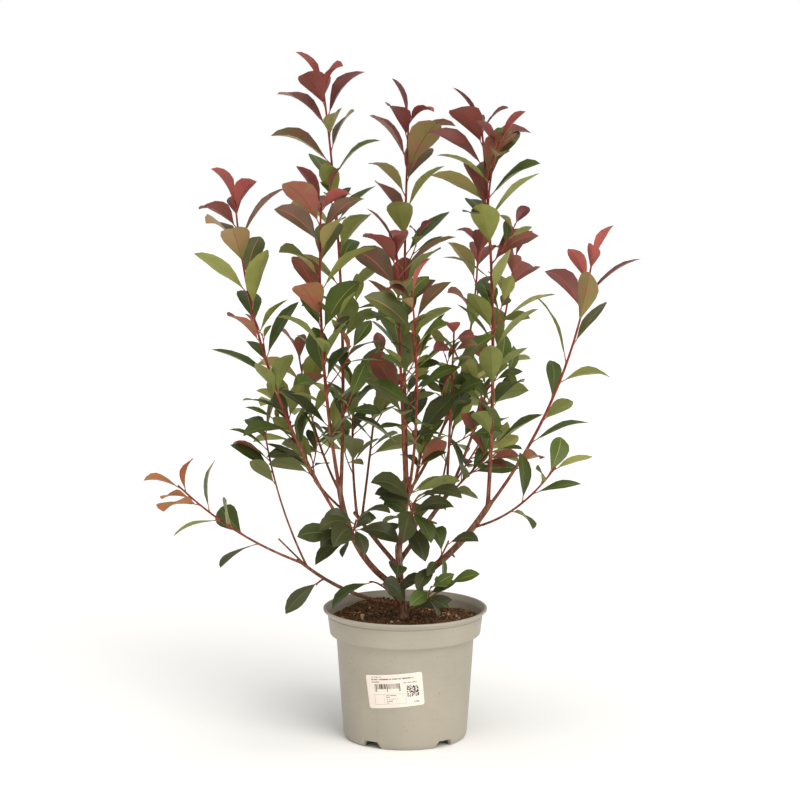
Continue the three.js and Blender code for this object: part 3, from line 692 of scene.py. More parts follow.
def blade_faces():
    """One blade's faces: a base point, six rows of six points above and two below, and a tip point.
    Five strips face up, the middle one the rib, and three face down."""
    rows, tip = len(BLADE_ROWS), 1 + ROW_POINTS * len(BLADE_ROWS)
    at = lambda row, column: 1 + ROW_POINTS * row + column
    faces, finish = [], []
    for c, d, made in BLADE_STRIPS:
        strip = [[at(k, c), at(k + 1, c), at(k + 1, d), at(k, d)] for k in range(rows - 1)]
        strip += [[0, at(0, c), at(0, d)], [at(rows - 1, c), tip, at(rows - 1, d)]]
        faces += strip if made < 2 else [face[::-1] for face in strip]
        finish += [made] * len(strip)
    return np.concatenate(faces), [len(face) for face in faces], finish


BLADE = blade_faces()


def blades(many):
    """All blades at once. At share u of the blade its half width is sin(pi u^1.28)^0.88 of the widest,
    its halves fold up from the rib and arch over, its margin waves, and side veins quilt it: every
    other row stands a little higher in the middle of each half."""
    u = np.concatenate([[0.0], BLADE_ROWS, [1.0]])
    rib, _, across, up = rib_and_axes(many, mix(BLADE_STARTS_AT, 1.0, u))
    outline = np.sin(np.pi * u ** OUTLINE_POWERS[0]) ** OUTLINE_POWERS[1]
    half = ((many["length"] * many["width"] / 2)[:, None] * outline)[:, :, None]
    a = BLADE_COLUMNS
    fold, height, phase = (many[key][:, None, None] for key in ("fold", "wave", "phase"))
    arch = np.abs(a) * (ARCH[0] - ARCH[1] * np.abs(a))
    lag = np.where(a > 0, 0.0, OTHER_SIDE_LAG)
    wave = height * np.abs(a) * np.sin(2 * np.pi * (WAVES_ALONG * u[:, None] + phase) + lag)
    quilting = SIDE_VEIN_RELIEF * (np.arange(len(u))[:, None] % 2) * (np.abs(a) == MID_HALF)
    rise = half * (np.sin(fold) * arch + wave + quilting)
    out = half * a * np.cos(fold)
    top = rib[:, :, None] + across[:, :, None] * out[..., None] + up[:, :, None] * rise[..., None]
    keel = np.maximum(THINNEST_BLADE, many["length"][:, None] * mix(*THICKNESS_SHARES, u))[:, :, None, None]
    below = top[:, :, 2:4] - up[:, :, None] * keel
    rows = np.concatenate([top, below], axis=2)[:, 1:-1]
    points = np.concatenate([rib[:, :1], rows.reshape(len(rows), -1, 3), rib[:, -1:]], axis=1)
    return repeated(points, *BLADE)


def stalks(many):
    """All leaf stalks at once: five-sided tapering tubes from the shoot's axis to under the blade."""
    rib, _, across, up = rib_and_axes(many, STALK_PLACES)
    spoke = spokes_round(across, up, STALK_SIDES)
    points = rib[:, :, None] + (spoke - up[:, :, None] * STALK_DROP) * STALK_RADII[:, None, None]
    return repeated(points.reshape(len(points), -1, 3), *surface_of(points[0])[1:])


# Finishes

def shade(red, green, blue):
    """A colour in steps from 0 to 255 as linear light: ((c + 0.055) / 1.055)^2.4 above 0.04045."""
    parts = np.array([red, green, blue]) / 255
    linear = np.where(parts <= 0.04045, parts / 12.92, ((parts + 0.055) / 1.055) ** 2.4)
    return (*linear.tolist(), 1.0)


def new_finish(name, roughness, specular=0.5):
    made = bpy.data.materials.new(name)
    made.use_nodes = True
    tree = made.node_tree
    surface = tree.nodes["Principled BSDF"]
    surface.inputs["Roughness"].default_value = roughness
    surface.inputs["Specular IOR Level"].default_value = specular
    return made, tree, surface


def node(tree, kind, **inputs):
    """A node of a kind, with each input a value or another node's output."""
    made = tree.nodes.new(f"ShaderNode{kind}")
    for name, given in inputs.items():
        if isinstance(given, bpy.types.NodeSocket):
            tree.links.new(given, made.inputs[name])
        else:
            made.inputs[name].default_value = given
    return made


def object_noise(tree, scale, detail, stretch=(1, 1, 1)):
    place = node(tree, "TexCoord").outputs["Object"]
    stretched = node(tree, "Mapping", Vector=place, Scale=stretch).outputs["Vector"]
    return node(tree, "TexNoise", Vector=stretched, Scale=scale, Detail=detail).outputs["Fac"]


def ramp(tree, factor, stops):
    """Colours along a factor, from pairs of place and colour."""
    made = tree.nodes.new("ShaderNodeValToRGB")
    band = made.color_ramp
    while len(band.elements) < len(stops):
        band.elements.new(0.5)
    for element, (place, colour) in zip(band.elements, stops):
        element.position = place
        element.color = colour
    tree.links.new(factor, made.inputs["Fac"])
    return made.outputs["Color"]


def coloured(tree, surface, factor, stops):
    """A base colour along a factor, from pairs of place and colour in steps to 255."""
    stops = [(place, shade(*colour)) for place, colour in stops]
    tree.links.new(ramp(tree, factor, stops), surface.inputs["Base Color"])


def multiplied(tree, one, other):
    made = tree.nodes.new("ShaderNodeMix")
    made.data_type = "RGBA"
    made.blend_type = "MULTIPLY"
    made.inputs["Factor"].default_value = 1.0
    tree.links.new(one, made.inputs["A"])
    tree.links.new(other, made.inputs["B"])
    return made.outputs["Result"]


def glossed(tree, surface, factor, low, high):
    """A roughness that varies with a factor between two values."""
    made = node(tree, "MapRange", **{"Value": factor, "To Min": low, "To Max": high})
    tree.links.new(made.outputs["Result"], surface.inputs["Roughness"])


def bumped(tree, surface, factor, strength, distance):
    made = node(tree, "Bump", Height=factor, Strength=strength, Distance=distance)
    tree.links.new(made.outputs["Normal"], surface.inputs["Normal"])


def leaf_finish(name, colour, blush, roughness, grain):
    """A leaf's skin: one base colour blushed with another, a gloss that varies and a faint grain."""
    made, tree, surface = new_finish(name, roughness, specular=0.22)
    coloured(tree, surface, object_noise(tree, scale=42, detail=5), [(0.4, colour), (0.66, blush)])
    grainy = object_noise(tree, scale=220, detail=3)
    glossed(tree, surface, grainy, low=roughness - 0.08, high=roughness + 0.12)
    bumped(tree, surface, grainy, grain, distance=0.0002)
    return made


def bark_finish(name, dark, middle, light, roughness, scale, relief):
    """Bark: upright streaks in three colours."""
    made, tree, surface = new_finish(name, roughness, specular=0.35)
    streaks = object_noise(tree, scale, detail=6, stretch=(1, 1, 0.22))
    coloured(tree, surface, streaks, [(0.32, dark), (0.5, middle), (0.68, light)])
    bumped(tree, surface, streaks, relief, distance=0.0008)
    return made


# Leaf tints: the colour above and its blush, those below, the colour of the ribs, and the gloss above.
TINTS = {
    "coral": ((160, 78, 72), (136, 72, 66), (188, 98, 90), (170, 94, 84), (176, 78, 72), 0.38),
    "wine": ((101, 61, 58), (127, 67, 62), (150, 80, 74), (140, 86, 73), (156, 64, 60), 0.35),
    "ruby": ((122, 69, 61), (102, 66, 56), (164, 97, 82), (154, 117, 82), (164, 76, 66), 0.36),
    "rust": ((128, 70, 54), (106, 70, 52), (168, 100, 78), (158, 122, 78), (158, 84, 62), 0.4),
    "bronze": ((108, 76, 58), (86, 82, 50), (174, 134, 96), (158, 146, 88), (170, 98, 76), 0.38),
    "olive": ((88, 90, 48), (78, 88, 44), (174, 156, 96), (158, 156, 88), (166, 122, 82), 0.38),
    "lime": ((88, 102, 44), (78, 94, 40), (158, 158, 86), (142, 148, 76), (158, 152, 90), 0.38),
    "green": ((76, 92, 40), (68, 80, 36), (146, 150, 80), (132, 138, 72), (126, 134, 72), 0.38),
    "deep": ((70, 82, 38), (64, 74, 36), (130, 136, 72), (118, 124, 66), (108, 116, 62), 0.4),
    "dark": ((62, 67, 40), (72, 73, 40), (112, 115, 68), (104, 106, 62), (98, 100, 60), 0.4),
    "russet": ((166, 102, 60), (142, 112, 62), (180, 100, 72), (182, 128, 80), (168, 92, 66), 0.42),
}


TINT_STEPS = [
    (0.94, "coral"), (0.83, "wine"), (0.75, "ruby"), (0.67, "bronze"), (0.58, "olive"), (0.42, "lime"),
    (0.22, "green"), (0.08, "deep"), (-1, "dark"),
]
AGE_SPREAD = 0.07
OLD_LEAVES_DARK_BELOW = 0.7
RUSSET_FROM_AGE = 0.6
RUST_AGES = (0.25, 0.7)
RUST_CHANCE_FROM = 0.9
WIDTH_SHARES = (0.4, 0.5)
WIDTH_CHANCES = (0.8, 1.16)
FOLDS = (15, 26)
FOLD_SPREAD = 8
WAVE_HEIGHTS = (0.03, 0.06)
RIB_ROUGHNESS = 0.5
UNDERSIDE_ROUGHNESS = 0.55
# Leaf stalks: name, whether the leaf is young, colour and blush.
STALKS = [("red", True, (168, 78, 58), (158, 98, 64)), ("pale", False, (158, 128, 72), (150, 92, 60))]
YOUNG_FROM = 0.5


def tint_of(leaf):
    """The tint of a leaf from its youth, with chance to mix neighbours."""
    age = leaf["youth"] + leaf["looks"][1] + spread(AGE_SPREAD, leaf["chance"])
    if leaf["growth"] == "old":
        return "dark" if leaf["chance"] < OLD_LEAVES_DARK_BELOW else "deep"
    if leaf["growth"] == "russet" and age > RUSSET_FROM_AGE:
        return "russet"
    if RUST_AGES[0] < age < RUST_AGES[1] and leaf["chance"] > RUST_CHANCE_FROM:
        return "rust"
    return next(tint for least, tint in TINT_STEPS if age > least)


def gathered(some):
    """The leaves' numbers as whole arrays, with their shapes from their youth and chance."""
    youth = np.array([leaf["youth"] for leaf in some])
    chance = np.array([leaf["chance"] for leaf in some])
    breadth = np.array([leaf["looks"][0] for leaf in some])
    kept = ("seat", "first", "last", "side", "roll", "length")
    return {
        **{key: np.array([leaf[key] for leaf in some]) for key in kept},
        "width": mix(*WIDTH_SHARES, youth ** 2) * mix(*WIDTH_CHANCES, chance) * breadth,
        "fold": np.radians(mix(*FOLDS, youth ** 1.5) + spread(FOLD_SPREAD, chance)),
        "wave": mix(*WAVE_HEIGHTS, (chance * 5) % 1),
        "phase": (chance * 11) % 1,
    }


MASS_NODES = sorted(name for name in frame["nodes"] if name.startswith("mass_"))
for tint, (above, above_blush, below, below_blush, rib_colour, gloss) in TINTS.items():
    dealt = [leaf for leaf in leaves if tint_of(leaf) == tint]
    made = [
        leaf_finish(f"{tint}_leaf_top", above, above_blush, gloss, grain=0.25),
        leaf_finish(f"{tint}_leaf_rib", rib_colour, rib_colour, RIB_ROUGHNESS, grain=0.1),
        leaf_finish(f"{tint}_leaf_underside", below, below_blush, UNDERSIDE_ROUGHNESS, grain=0.3),
        leaf_finish(f"{tint}_leaf_underside_rib", rib_colour, rib_colour, RIB_ROUGHNESS, grain=0.1),
    ]
    add_piece(f"leaves_{tint}", blades(gathered(dealt)), made, MASS_NODES)
for kind, young, colour, blush in STALKS:
    dealt = [leaf for leaf in leaves if (leaf["youth"] > YOUNG_FROM) == young]
    made = leaf_finish(f"{kind}_leaf_stalk", colour, blush, RIB_ROUGHNESS, grain=0.1)
    add_piece(f"{kind}_leaf_stalks", stalks(gathered(dealt)), [made], MASS_NODES)


# Barks

# Each kind of limb: how far apart its rings stand, its sides, its unevenness, the collar at its foot,
# how deep it sinks in, and its first seed.
LIMB_SKINS = {
    "trunk": (0.9, 40, 0.075, 0, 4, 3),
    "bough": (1.6, 24, 0.06, 0.3, 0, 11),
    "foot": (2, 16, 0.04, 0.35, 0, 31),
    "stem": (2.2, 12, 0.025, 0, 0, 61),
    "side_stem": (2.2, 12, 0.025, 0, 0, 95),
    "sprig": (2.5, 8, 0.03, 0, 0, 120),
}
FEWEST_RINGS = 4
COLLAR_REACH = 6
SCAR_REACH = 2.5
SCAR_HEIGHT = 0.32
STREAK_STRETCH = 0.22
STREAK_SIZE = 2.6
LUMP_SIZE = 14
LUMP_SHARE = 0.8
LUMPS_APART = 3
DOME = np.radians([25, 50, 72, 86])
DOME_HEIGHT = 0.8
RED_FROM_SHARE = 0.22
RED_FROM_HEIGHT = 440
# Barks: dark, middle and light colour, roughness, scale and relief.
BARKS = {
    "trunk_bark": ((92, 58, 44), (146, 104, 80), (202, 180, 154), 0.75, 300, 0.9),
    "bough_bark": ((84, 52, 38), (122, 77, 57), (154, 112, 86), 0.6, 340, 0.4),
    "shoot_bark": ((92, 47, 33), (128, 68, 46), (156, 102, 72), 0.5, 300, 0.25),
    "red_stem": ((100, 34, 28), (146, 48, 39), (168, 76, 60), 0.4, 240, 0.15),
    "green_stem": ((112, 98, 52), (138, 122, 62), (160, 138, 80), 0.45, 240, 0.15),
}


def limb_shape(limb, start, stop, kind, number=0, scars=()):
    """A limb as rings along its axis. The radius is the taper, plus streaked unevenness, plus a low
    bump exp(-(distance / 2.5)^2) at each leaf scar, plus a collar exp(-distance / 6) at the foot. A
    half ball closes the tip."""
    step, sides, uneven, collar, sink, seed = LIMB_SKINS[kind]
    length = limb["length"]
    rings = max(FEWEST_RINGS, int((stop - start) * length / step) + 1)
    t = mix(start - sink / length, stop, np.linspace(0, 1, rings))
    along, back, side = spokes_at(limb, t)
    centre = on_axis(limb, t)
    radius = radius_at(limb, t) * (1 + collar * np.exp(-np.maximum(t, 0) * length / COLLAR_REACH))
    rise = along[-1] * radius[-1] * np.sin(DOME)[:, None] * DOME_HEIGHT
    centre = np.concatenate([centre, centre[-1] + rise])[:, None]
    radius = np.concatenate([radius, radius[-1] * np.cos(DOME)])[:, None]
    at_tip = lambda values: np.concatenate([values, np.repeat(values[-1:], len(DOME), axis=0)])
    spoke = spokes_round(at_tip(back), at_tip(side), sides)
    streaks = ripple(centre * STREAK_STRETCH + spoke * radius[..., None], STREAK_SIZE, seed + number)
    lumps = ripple(centre + spoke * LUMPS_APART, LUMP_SIZE, seed + number + 1)
    bulk = 1 + uneven * (streaks + LUMP_SHARE * lumps)
    for place, turn in scars:
        nearness = np.exp(-((at_tip(t) - place) * length / SCAR_REACH) ** 2)[:, None]
        facing = np.maximum(0, np.cos(np.arange(sides) / sides * 2 * np.pi - math.radians(turn))) ** 2
        bulk = bulk + SCAR_HEIGHT * nearness * facing
    return surface_of(centre + spoke * (radius * bulk)[..., None])


def ripened(limb, start, kind, number, share, scars=()):
    """A stem in two barks: brown up to a share of its length and red beyond, with its caps last."""
    shape = limb_shape(limb, start, 1, kind, number, scars)
    sides = LIMB_SKINS[kind][1]
    rings = (len(shape.sizes) - 2) // sides
    place = np.append(np.repeat(np.arange(rings) / rings, sides), [1, 0])
    return shape._replace(finish=(place > share).astype(int))


def leafy_stem(row, number):
    scars = [(plan["t"], plan["turn"]) for plan in leaf_plan(row, SHOOT_SEED + SEED_STEP * number)]
    return ripened(limbs[row.name], row.bare, "stem", number, RED_FROM_SHARE, scars)


barks = {name: bark_finish(name, *values) for name, values in BARKS.items()}
trunk_shape = limb_shape(limbs["trunk"], 0, 1, "trunk")
add_piece("trunk_with_bark", trunk_shape, [barks["trunk_bark"]], ["trunk"])
bough_shapes = [limb_shape(limbs[row.name], 0, 1, "bough", i) for i, row in enumerate(BOUGHS + STUBS)]
bough_nodes = [row.name for row in BOUGHS]
add_piece("boughs_with_bark", join(bough_shapes), [barks["bough_bark"]], bough_nodes)
foot_shapes = [
    limb_shape(limbs[row.name], 0, row.bare, "foot", i) for i, row in enumerate(SHOOTS) if row.bare > 0
]
foot_nodes = [f"bough_{row.name}" for row in SHOOTS if row.bare > 0]
add_piece("shoot_feet", join(foot_shapes), [barks["shoot_bark"]], foot_nodes)
stems = {row.name: leafy_stem(row, i) for i, row in enumerate(SHOOTS)}
green_shape = stems.pop("basal_sprig")
green_shape.finish[:] = 0
add_piece("green_stems", green_shape, [barks["green_stem"]], MASS_NODES)
fine_stems = [ripened(limbs[row.name], 0, "side_stem", i, -1) for i, row in enumerate(SIDE_TWIGS)]
fine_stems += [
    ripened(sprig, 0, "sprig", i, 1 if sprig["tip"][2] < RED_FROM_HEIGHT else -1)
    for i, sprig in enumerate(sprigs)
]
two_barks = [barks["shoot_bark"], barks["red_stem"]]
add_piece("leafy_stems", join([*stems.values(), *fine_stems]), two_barks, MASS_NODES)


# The pot

POT_STEPS = 240
RIM_FOOT = POT_HEIGHT - RIM_EDGE
NOTCHED_FROM = 77.4
NOTCHED_TO = BODY_FOOT_RADIUS + 1
NOTCHED_BELOW = CHANNEL_HEIGHT - 0.3
# The outline from under the pot's middle up over the rim and down inside: radius, height and easing.
POT_SECTION = np.array([
    (0.5, 0, 0), (CENTRE_PAD_RADIUS, 0, 1), (CHANNEL_INNER_RADIUS, CHANNEL_HEIGHT, 1),
    (CHANNEL_OUTER_RADIUS, CHANNEL_HEIGHT, 1), (78.5, 0, 0.6), (FOOT_RING_RADIUS, 0, 1),
    (BODY_FOOT_RADIUS, FOOT_CORNER, 3), (BODY_TOP_RADIUS, BODY_TOP, 0.4),
    (COLLAR_FOOT_RADIUS, COLLAR_FOOT, 1), (COLLAR_TOP_RADIUS, COLLAR_TOP - 0.8, 0.5),
    (COLLAR_TOP_RADIUS - 0.9, COLLAR_TOP, 0.3),
    (COLLAR_TOP_RADIUS + 1, COLLAR_TOP + 1, 0.5), (RIM_RADIUS - 1.8, RIM_FOOT - 0.7, 0.4),
    (RIM_RADIUS - 1.4, RIM_FOOT, 0.2), (RIM_RADIUS, RIM_FOOT + 0.5, 0.4), (RIM_RADIUS, POT_HEIGHT, 1),
    (RIM_RADIUS - RIM_WIDTH, POT_HEIGHT, 0.8), (COLLAR_TOP_RADIUS - WALL, COLLAR_TOP + WALL, 2),
    (COLLAR_FOOT_RADIUS - WALL, COLLAR_FOOT + WALL, 2), (BODY_TOP_RADIUS - WALL, BODY_TOP + WALL, 1),
    (BODY_FOOT_RADIUS - WALL, CHANNEL_HEIGHT + WALL, 1),
    (CHANNEL_INNER_RADIUS - WALL, CHANNEL_HEIGHT + WALL, 1), (CENTRE_PAD_RADIUS - WALL, WALL, 1),
    (0.5, WALL, 0),
])
INNER_WALL = slice(20, 16, -1)


def pot_plastic():
    """Recycled grey plastic: faint clouds, level scuffs, a few dark specks, and a satin gloss that varies."""
    made, tree, surface = new_finish("grey_pot_plastic", roughness=0.5)
    clouds = object_noise(tree, scale=14, detail=3)
    base = ramp(tree, clouds, [(0.3, shade(168, 160, 144)), (0.7, shade(178, 170, 154))])
    rubbed = object_noise(tree, scale=36, detail=5, stretch=(1, 1, 7))
    scuffs = ramp(tree, rubbed, [(0.3, (0.975, 0.97, 0.96, 1)), (0.5, WHITE)])
    dotted = object_noise(tree, scale=330, detail=2)
    specks = ramp(tree, dotted, [(0.235, (0.4, 0.35, 0.28, 1)), (0.29, WHITE)])
    worn = multiplied(tree, multiplied(tree, base, scuffs), specks)
    tree.links.new(worn, surface.inputs["Base Color"])
    glossed(tree, surface, object_noise(tree, scale=60, detail=4), low=0.42, high=0.6)
    bumped(tree, surface, object_noise(tree, scale=240, detail=4), strength=0.12, distance=0.0005)
    return made


def make_pot():
    """The pot's outline is carried round. In each drainage notch the foot ring's points are lifted to
    the notch's height, which falls to nothing over the notch's sloping sides."""
    notch_middles = np.radians((np.arange(NOTCH_COUNT) + 0.5) * 360 / NOTCH_COUNT + FRONT_FOOT_DEGREES)
    foot_half = NOTCH_FOOT_WIDTH / 2 / FOOT_RING_RADIUS
    head_half = NOTCH_HEAD_WIDTH / 2 / FOOT_RING_RADIUS
    edges = (notch_middles[:, None] + np.array([-foot_half, -head_half, head_half, foot_half])).ravel()
    even = np.linspace(0, 2 * np.pi, POT_STEPS, endpoint=False)
    angles = np.unique(np.round(np.concatenate([even, edges % (2 * np.pi)]), 5))[:, None]
    radius, height = rounded(POT_SECTION[:, :2], POT_SECTION[1:-1, 2]).T
    off = np.abs((angles - notch_middles + np.pi) % (2 * np.pi) - np.pi).min(axis=-1, keepdims=True)
    lift = NOTCH_HEIGHT * np.clip((foot_half - off) / (foot_half - head_half), 0, 1)
    in_ring = (radius > NOTCHED_FROM) & (radius < NOTCHED_TO) & (height < NOTCHED_BELOW)
    points = round_places(angles, radius, np.where(in_ring, np.maximum(height, lift), height))
    shape = surface_of(points.transpose(1, 0, 2))
    add_piece("nursery_pot", shape, [pot_plastic()], ["pot"], crease=40)


make_pot()


# The soil

def inner_radius(height):
    radii, heights, _ = POT_SECTION[INNER_WALL].T
    return np.interp(height, heights, radii)


SOIL_RADIUS = float(inner_radius(SOIL_EDGE_HEIGHT)) - GAP
SOIL_FALL = ([0.12, 0.33, 0.66, 1], [1, 0.7, 0.3, 0])
SOIL_RINGS = 71
SOIL_SIDES = 180
# Right, backward, breadth and height of each mound, and height, size and seed of each unevenness.
MOUNDS = [(-42, 82, 27, 9), (36, 88, 26, -5)]
UNEVENNESS = [(1.6, 17, 5), (0.9, 6, 6)]
SOIL_DIP = 0.4
EARTHS = [(0.3, (50, 37, 25)), (0.47, (92, 69, 46)), (0.62, (132, 100, 65)), (0.76, (180, 148, 106))]
DEEP_HEIGHTS = np.array([140, 80, 13])[:, None]
DEEP_GAP = 0.4


def soil_height(x, y):
    """The soil's surface: nearly level, with two sizes of unevenness, a heap against the pot's wall
    behind and to the left, and a hollow behind and to the right. Both are h exp(-d^2 / 2w^2)."""
    fall = np.interp(np.hypot(x, y) / SOIL_RADIUS, *SOIL_FALL)
    height = mix(SOIL_EDGE_HEIGHT, SOIL_CROWN_HEIGHT, fall) - SOIL_DIP
    for right, backward, breadth, most in MOUNDS:
        height += most * np.exp(-((x - right) ** 2 + (y - backward) ** 2) / (2 * breadth ** 2))
    for most, size, seed in UNEVENNESS:
        height += most * ripple(np.stack([x, y, np.zeros_like(x)], -1), size, seed)
    return height


def make_soil():
    """Rings out to the wall, whose radius is taken at the height that the soil has there."""
    angles = np.arange(SOIL_SIDES) / SOIL_SIDES * 2 * np.pi
    right, backward, _ = round_places(angles, SOIL_RADIUS, 0).T
    edge = inner_radius(soil_height(right, backward)) - GAP
    top = round_places(angles, np.linspace(0, 1, SOIL_RINGS + 1)[1:, None] * edge, 0)
    top[..., 2] = soil_height(top[..., 0], top[..., 1])
    deep = round_places(angles, inner_radius(DEEP_HEIGHTS) - DEEP_GAP, DEEP_HEIGHTS)
    shape = surface_of(np.concatenate([top, deep])[::-1])
    made, tree, surface = new_finish("potting_soil", roughness=0.95, specular=0.2)
    clods = object_noise(tree, scale=240, detail=8)
    colour = ramp(tree, clods, [(place, shade(*earth)) for place, earth in EARTHS])
    damp = object_noise(tree, scale=34, detail=3)
    patches = ramp(tree, damp, [(0.4, (0.72, 0.68, 0.66, 1)), (0.6, WHITE)])
    tree.links.new(multiplied(tree, colour, patches), surface.inputs["Base Color"])
    bumped(tree, surface, clods, strength=1, distance=0.002)
    add_piece("soil_surface", shape, [made], ["soil"], crease=80)


make_soil()


STREWN_RADIUS = SOIL_RADIUS * 0.97
STREWN_FROM = 0.006
SLIMMEST = 0.7
PALE_KNOTS = [(-60, 14, 9), (-8, -22, 11), (-66, 30, 6), (30, 60, 10), (62, 8, 12), (-20, 30, 8)]
DENTS = (0.78, 1.15)
SUNK_SHARE = 0.35
GOLDEN = (1 + math.sqrt(5)) / 2
# The corners and the faces of the regular solid that a crumb is made from.
CRUMB_CORNERS = unit(np.array([
    (-1, GOLDEN, 0), (1, GOLDEN, 0), (-1, -GOLDEN, 0), (1, -GOLDEN, 0), (0, -1, GOLDEN), (0, 1, GOLDEN),
    (0, -1, -GOLDEN), (0, 1, -GOLDEN), (GOLDEN, 0, -1), (GOLDEN, 0, 1), (-GOLDEN, 0, -1), (-GOLDEN, 0, 1),
]))
CRUMB_FACES = [
    (0, 11, 5), (0, 5, 1), (0, 1, 7), (0, 7, 10), (0, 10, 11), (1, 5, 9), (5, 11, 4), (11, 10, 2), (10, 7, 6),
    (7, 1, 8), (3, 9, 4), (3, 4, 2), (3, 2, 6), (3, 6, 8), (3, 8, 9), (4, 9, 5), (2, 4, 11), (6, 2, 10),
    (8, 6, 7), (9, 8, 1),
]
# What lies on the soil: name, how many, smallest and largest bit, dark and pale colour, seed, flatness
# and the knots it lies in.
LITTER = [
    ("soil_crumbs", 900, ((0.9, 0.9, 0.7), (3.8, 3.6, 2.8)), (52, 38, 27), (114, 83, 57), 7, 1, None),
    ("bark_chips", 190, ((2.6, 1.3, 0.5), (8.0, 3.4, 1.2)), (92, 56, 36), (146, 98, 62), 8, 0.3, None),
    ("fine_fibres", 160, ((1.6, 0.6, 0.4), (6.2, 1.1, 0.8)), (130, 92, 58), (188, 146, 100), 9, 0.3, None),
    ("pale_crumbs", 70, ((1.2, 0.9, 0.6), (4.2, 2.6, 1.8)), (178, 140, 100), (226, 194, 154), 11, 0.5,
     PALE_KNOTS),
    ("white_grit", 40, ((0.7, 0.7, 0.6), (1.9, 1.8, 1.5)), (178, 170, 150), (220, 212, 192), 10, 1, None),
]


def random_turns(count, rng, flatness):
    """Rotation matrices from random unit quaternions, with those of flat bits near to level."""
    q = rng.normal(size=(count, 4))
    q[:, 1:3] *= flatness
    w, x, y, z = (q / np.linalg.norm(q, axis=1, keepdims=True)).T
    return np.stack([
        1 - 2 * (y * y + z * z), 2 * (x * y - w * z), 2 * (x * z + w * y),
        2 * (x * y + w * z), 1 - 2 * (x * x + z * z), 2 * (y * z - w * x),
        2 * (x * z - w * y), 2 * (y * z + w * x), 1 - 2 * (x * x + y * y),
    ], -1).reshape(count, 3, 3)


def strewn(name, count, sizes, finish, seed, flatness, knots):
    """Crumbs on the soil: each is the same solid stretched, dented, turned and half sunk. They are
    strewn evenly, or normally round knots, each a place and a breadth."""
    rng = np.random.default_rng(seed)
    radius = STREWN_RADIUS * np.sqrt(rng.uniform(STREWN_FROM, 1, count))
    angle = rng.uniform(0, 2 * np.pi, count)
    x, y = radius * np.sin(angle), -radius * np.cos(angle)
    if knots:
        middle_x, middle_y, breadth = np.array(knots, float)[rng.integers(len(knots), size=count)].T
        x, y = middle_x + breadth * rng.normal(size=count), middle_y + breadth * rng.normal(size=count)
        inward = np.minimum(1, STREWN_RADIUS / np.hypot(x, y))
        x, y = x * inward, y * inward
    growth = rng.uniform(0, 1, (count, 1)) ** 2 * rng.uniform(SLIMMEST, 1, (count, 3))
    size = mix(*np.array(sizes, float), growth)
    dents = rng.uniform(*DENTS, (count, len(CRUMB_CORNERS), 1))
    local = CRUMB_CORNERS * dents * size[:, None]
    middle = np.stack([x, y, soil_height(x, y) + size.min(axis=1) * SUNK_SHARE], -1)
    placed = np.einsum("nij,nkj->nki", random_turns(count, rng, flatness), local) + middle[:, None]
    add_piece(name, repeated(placed, *plain_faces(CRUMB_FACES)), [finish], ["soil"], crease=25)


def crumb_finish(name, dark, light):
    made, tree, surface = new_finish(name, roughness=0.9, specular=0.2)
    grain = object_noise(tree, scale=340, detail=5)
    coloured(tree, surface, grain, [(0.35, dark), (0.65, light)])
    bumped(tree, surface, grain, strength=0.6, distance=0.001)
    return made


for name, count, sizes, dark, light, seed, flatness, knots in LITTER:
    strewn(name, count, sizes, crumb_finish(name, dark, light), seed, flatness, knots)


# The label

LABEL_COLUMNS = 33
LABEL_ROWS = 9
LABEL_LIFT = GAP + LABEL_THICKNESS
NEARLY_SHARP = 0.0004


def on_label(across, up, lift):
    """A place on the tilted label wrapped round the cone of the pot's side."""
    slope = (BODY_TOP_RADIUS - BODY_FOOT_RADIUS) / (BODY_TOP - FOOT_CORNER)
    middle = BODY_FOOT_RADIUS + slope * (LABEL_MIDDLE_HEIGHT - FOOT_CORNER)
    tilt = math.radians(LABEL_TILT_DEGREES)
    along = across * math.cos(tilt) - up * math.sin(tilt)
    rise = across * math.sin(tilt) + up * math.cos(tilt)
    turn = math.radians(LABEL_TURN_DEGREES) + along / middle
    return round_places(turn, middle + slope * rise + lift, LABEL_MIDDLE_HEIGHT + rise)


def make_label():
    """A thin slip with rounded corners: at each column its half height falls short of the full one
    by the corner's circle, and each column is a closed ring round the slip's thickness."""
    straight = LABEL_WIDTH / 2 - LABEL_CORNER
    ends = straight + LABEL_CORNER * np.cos(np.radians([0, 20, 40, 60, 80, 90]))
    between = np.linspace(-straight, straight, LABEL_COLUMNS)
    across = np.unique(np.concatenate([ends, -ends, between]))[:, None]
    past = np.maximum(0, np.abs(across) - straight)
    half = LABEL_HEIGHT / 2 - LABEL_CORNER + np.sqrt(np.maximum(LABEL_CORNER ** 2 - past ** 2, NEARLY_SHARP))
    up = half * np.linspace(1, -1, LABEL_ROWS)
    outer, inner = (on_label(across, up, lift) for lift in (LABEL_LIFT, GAP))
    ring = np.concatenate([outer, inner[:, ::-1]], axis=1)
    made, tree, surface = new_finish("label_paper", roughness=0.55)
    tone = object_noise(tree, scale=40, detail=3)
    coloured(tree, surface, tone, [(0.3, (245, 230, 217)), (0.7, (250, 237, 226))])
    bumped(tree, surface, object_noise(tree, scale=90, detail=4), strength=0.12, distance=0.0006)
    add_piece("paper_label", surface_of(ring, flip=True), [made], ["label"], crease=50)


make_label()


# Rows of dashes: left, right, top and thickness, from the label's middle.
PRINT_ROWS = [
    (-32, 28, 17.6, 1.6), (-32, -17, 20.6, 0.9), (-32, -20, 14, 1.4), (12, 30, 11, 1.1),
    (-14, 2, -5.6, 0.9), (-14, -8, -8, 0.8), (-14, 3, -10.6, 0.8), (-14, -3, -13.2, 1.1),
    (-14, -9, -15.8, 0.8), (24, 32, -16.2, 1.7),
]
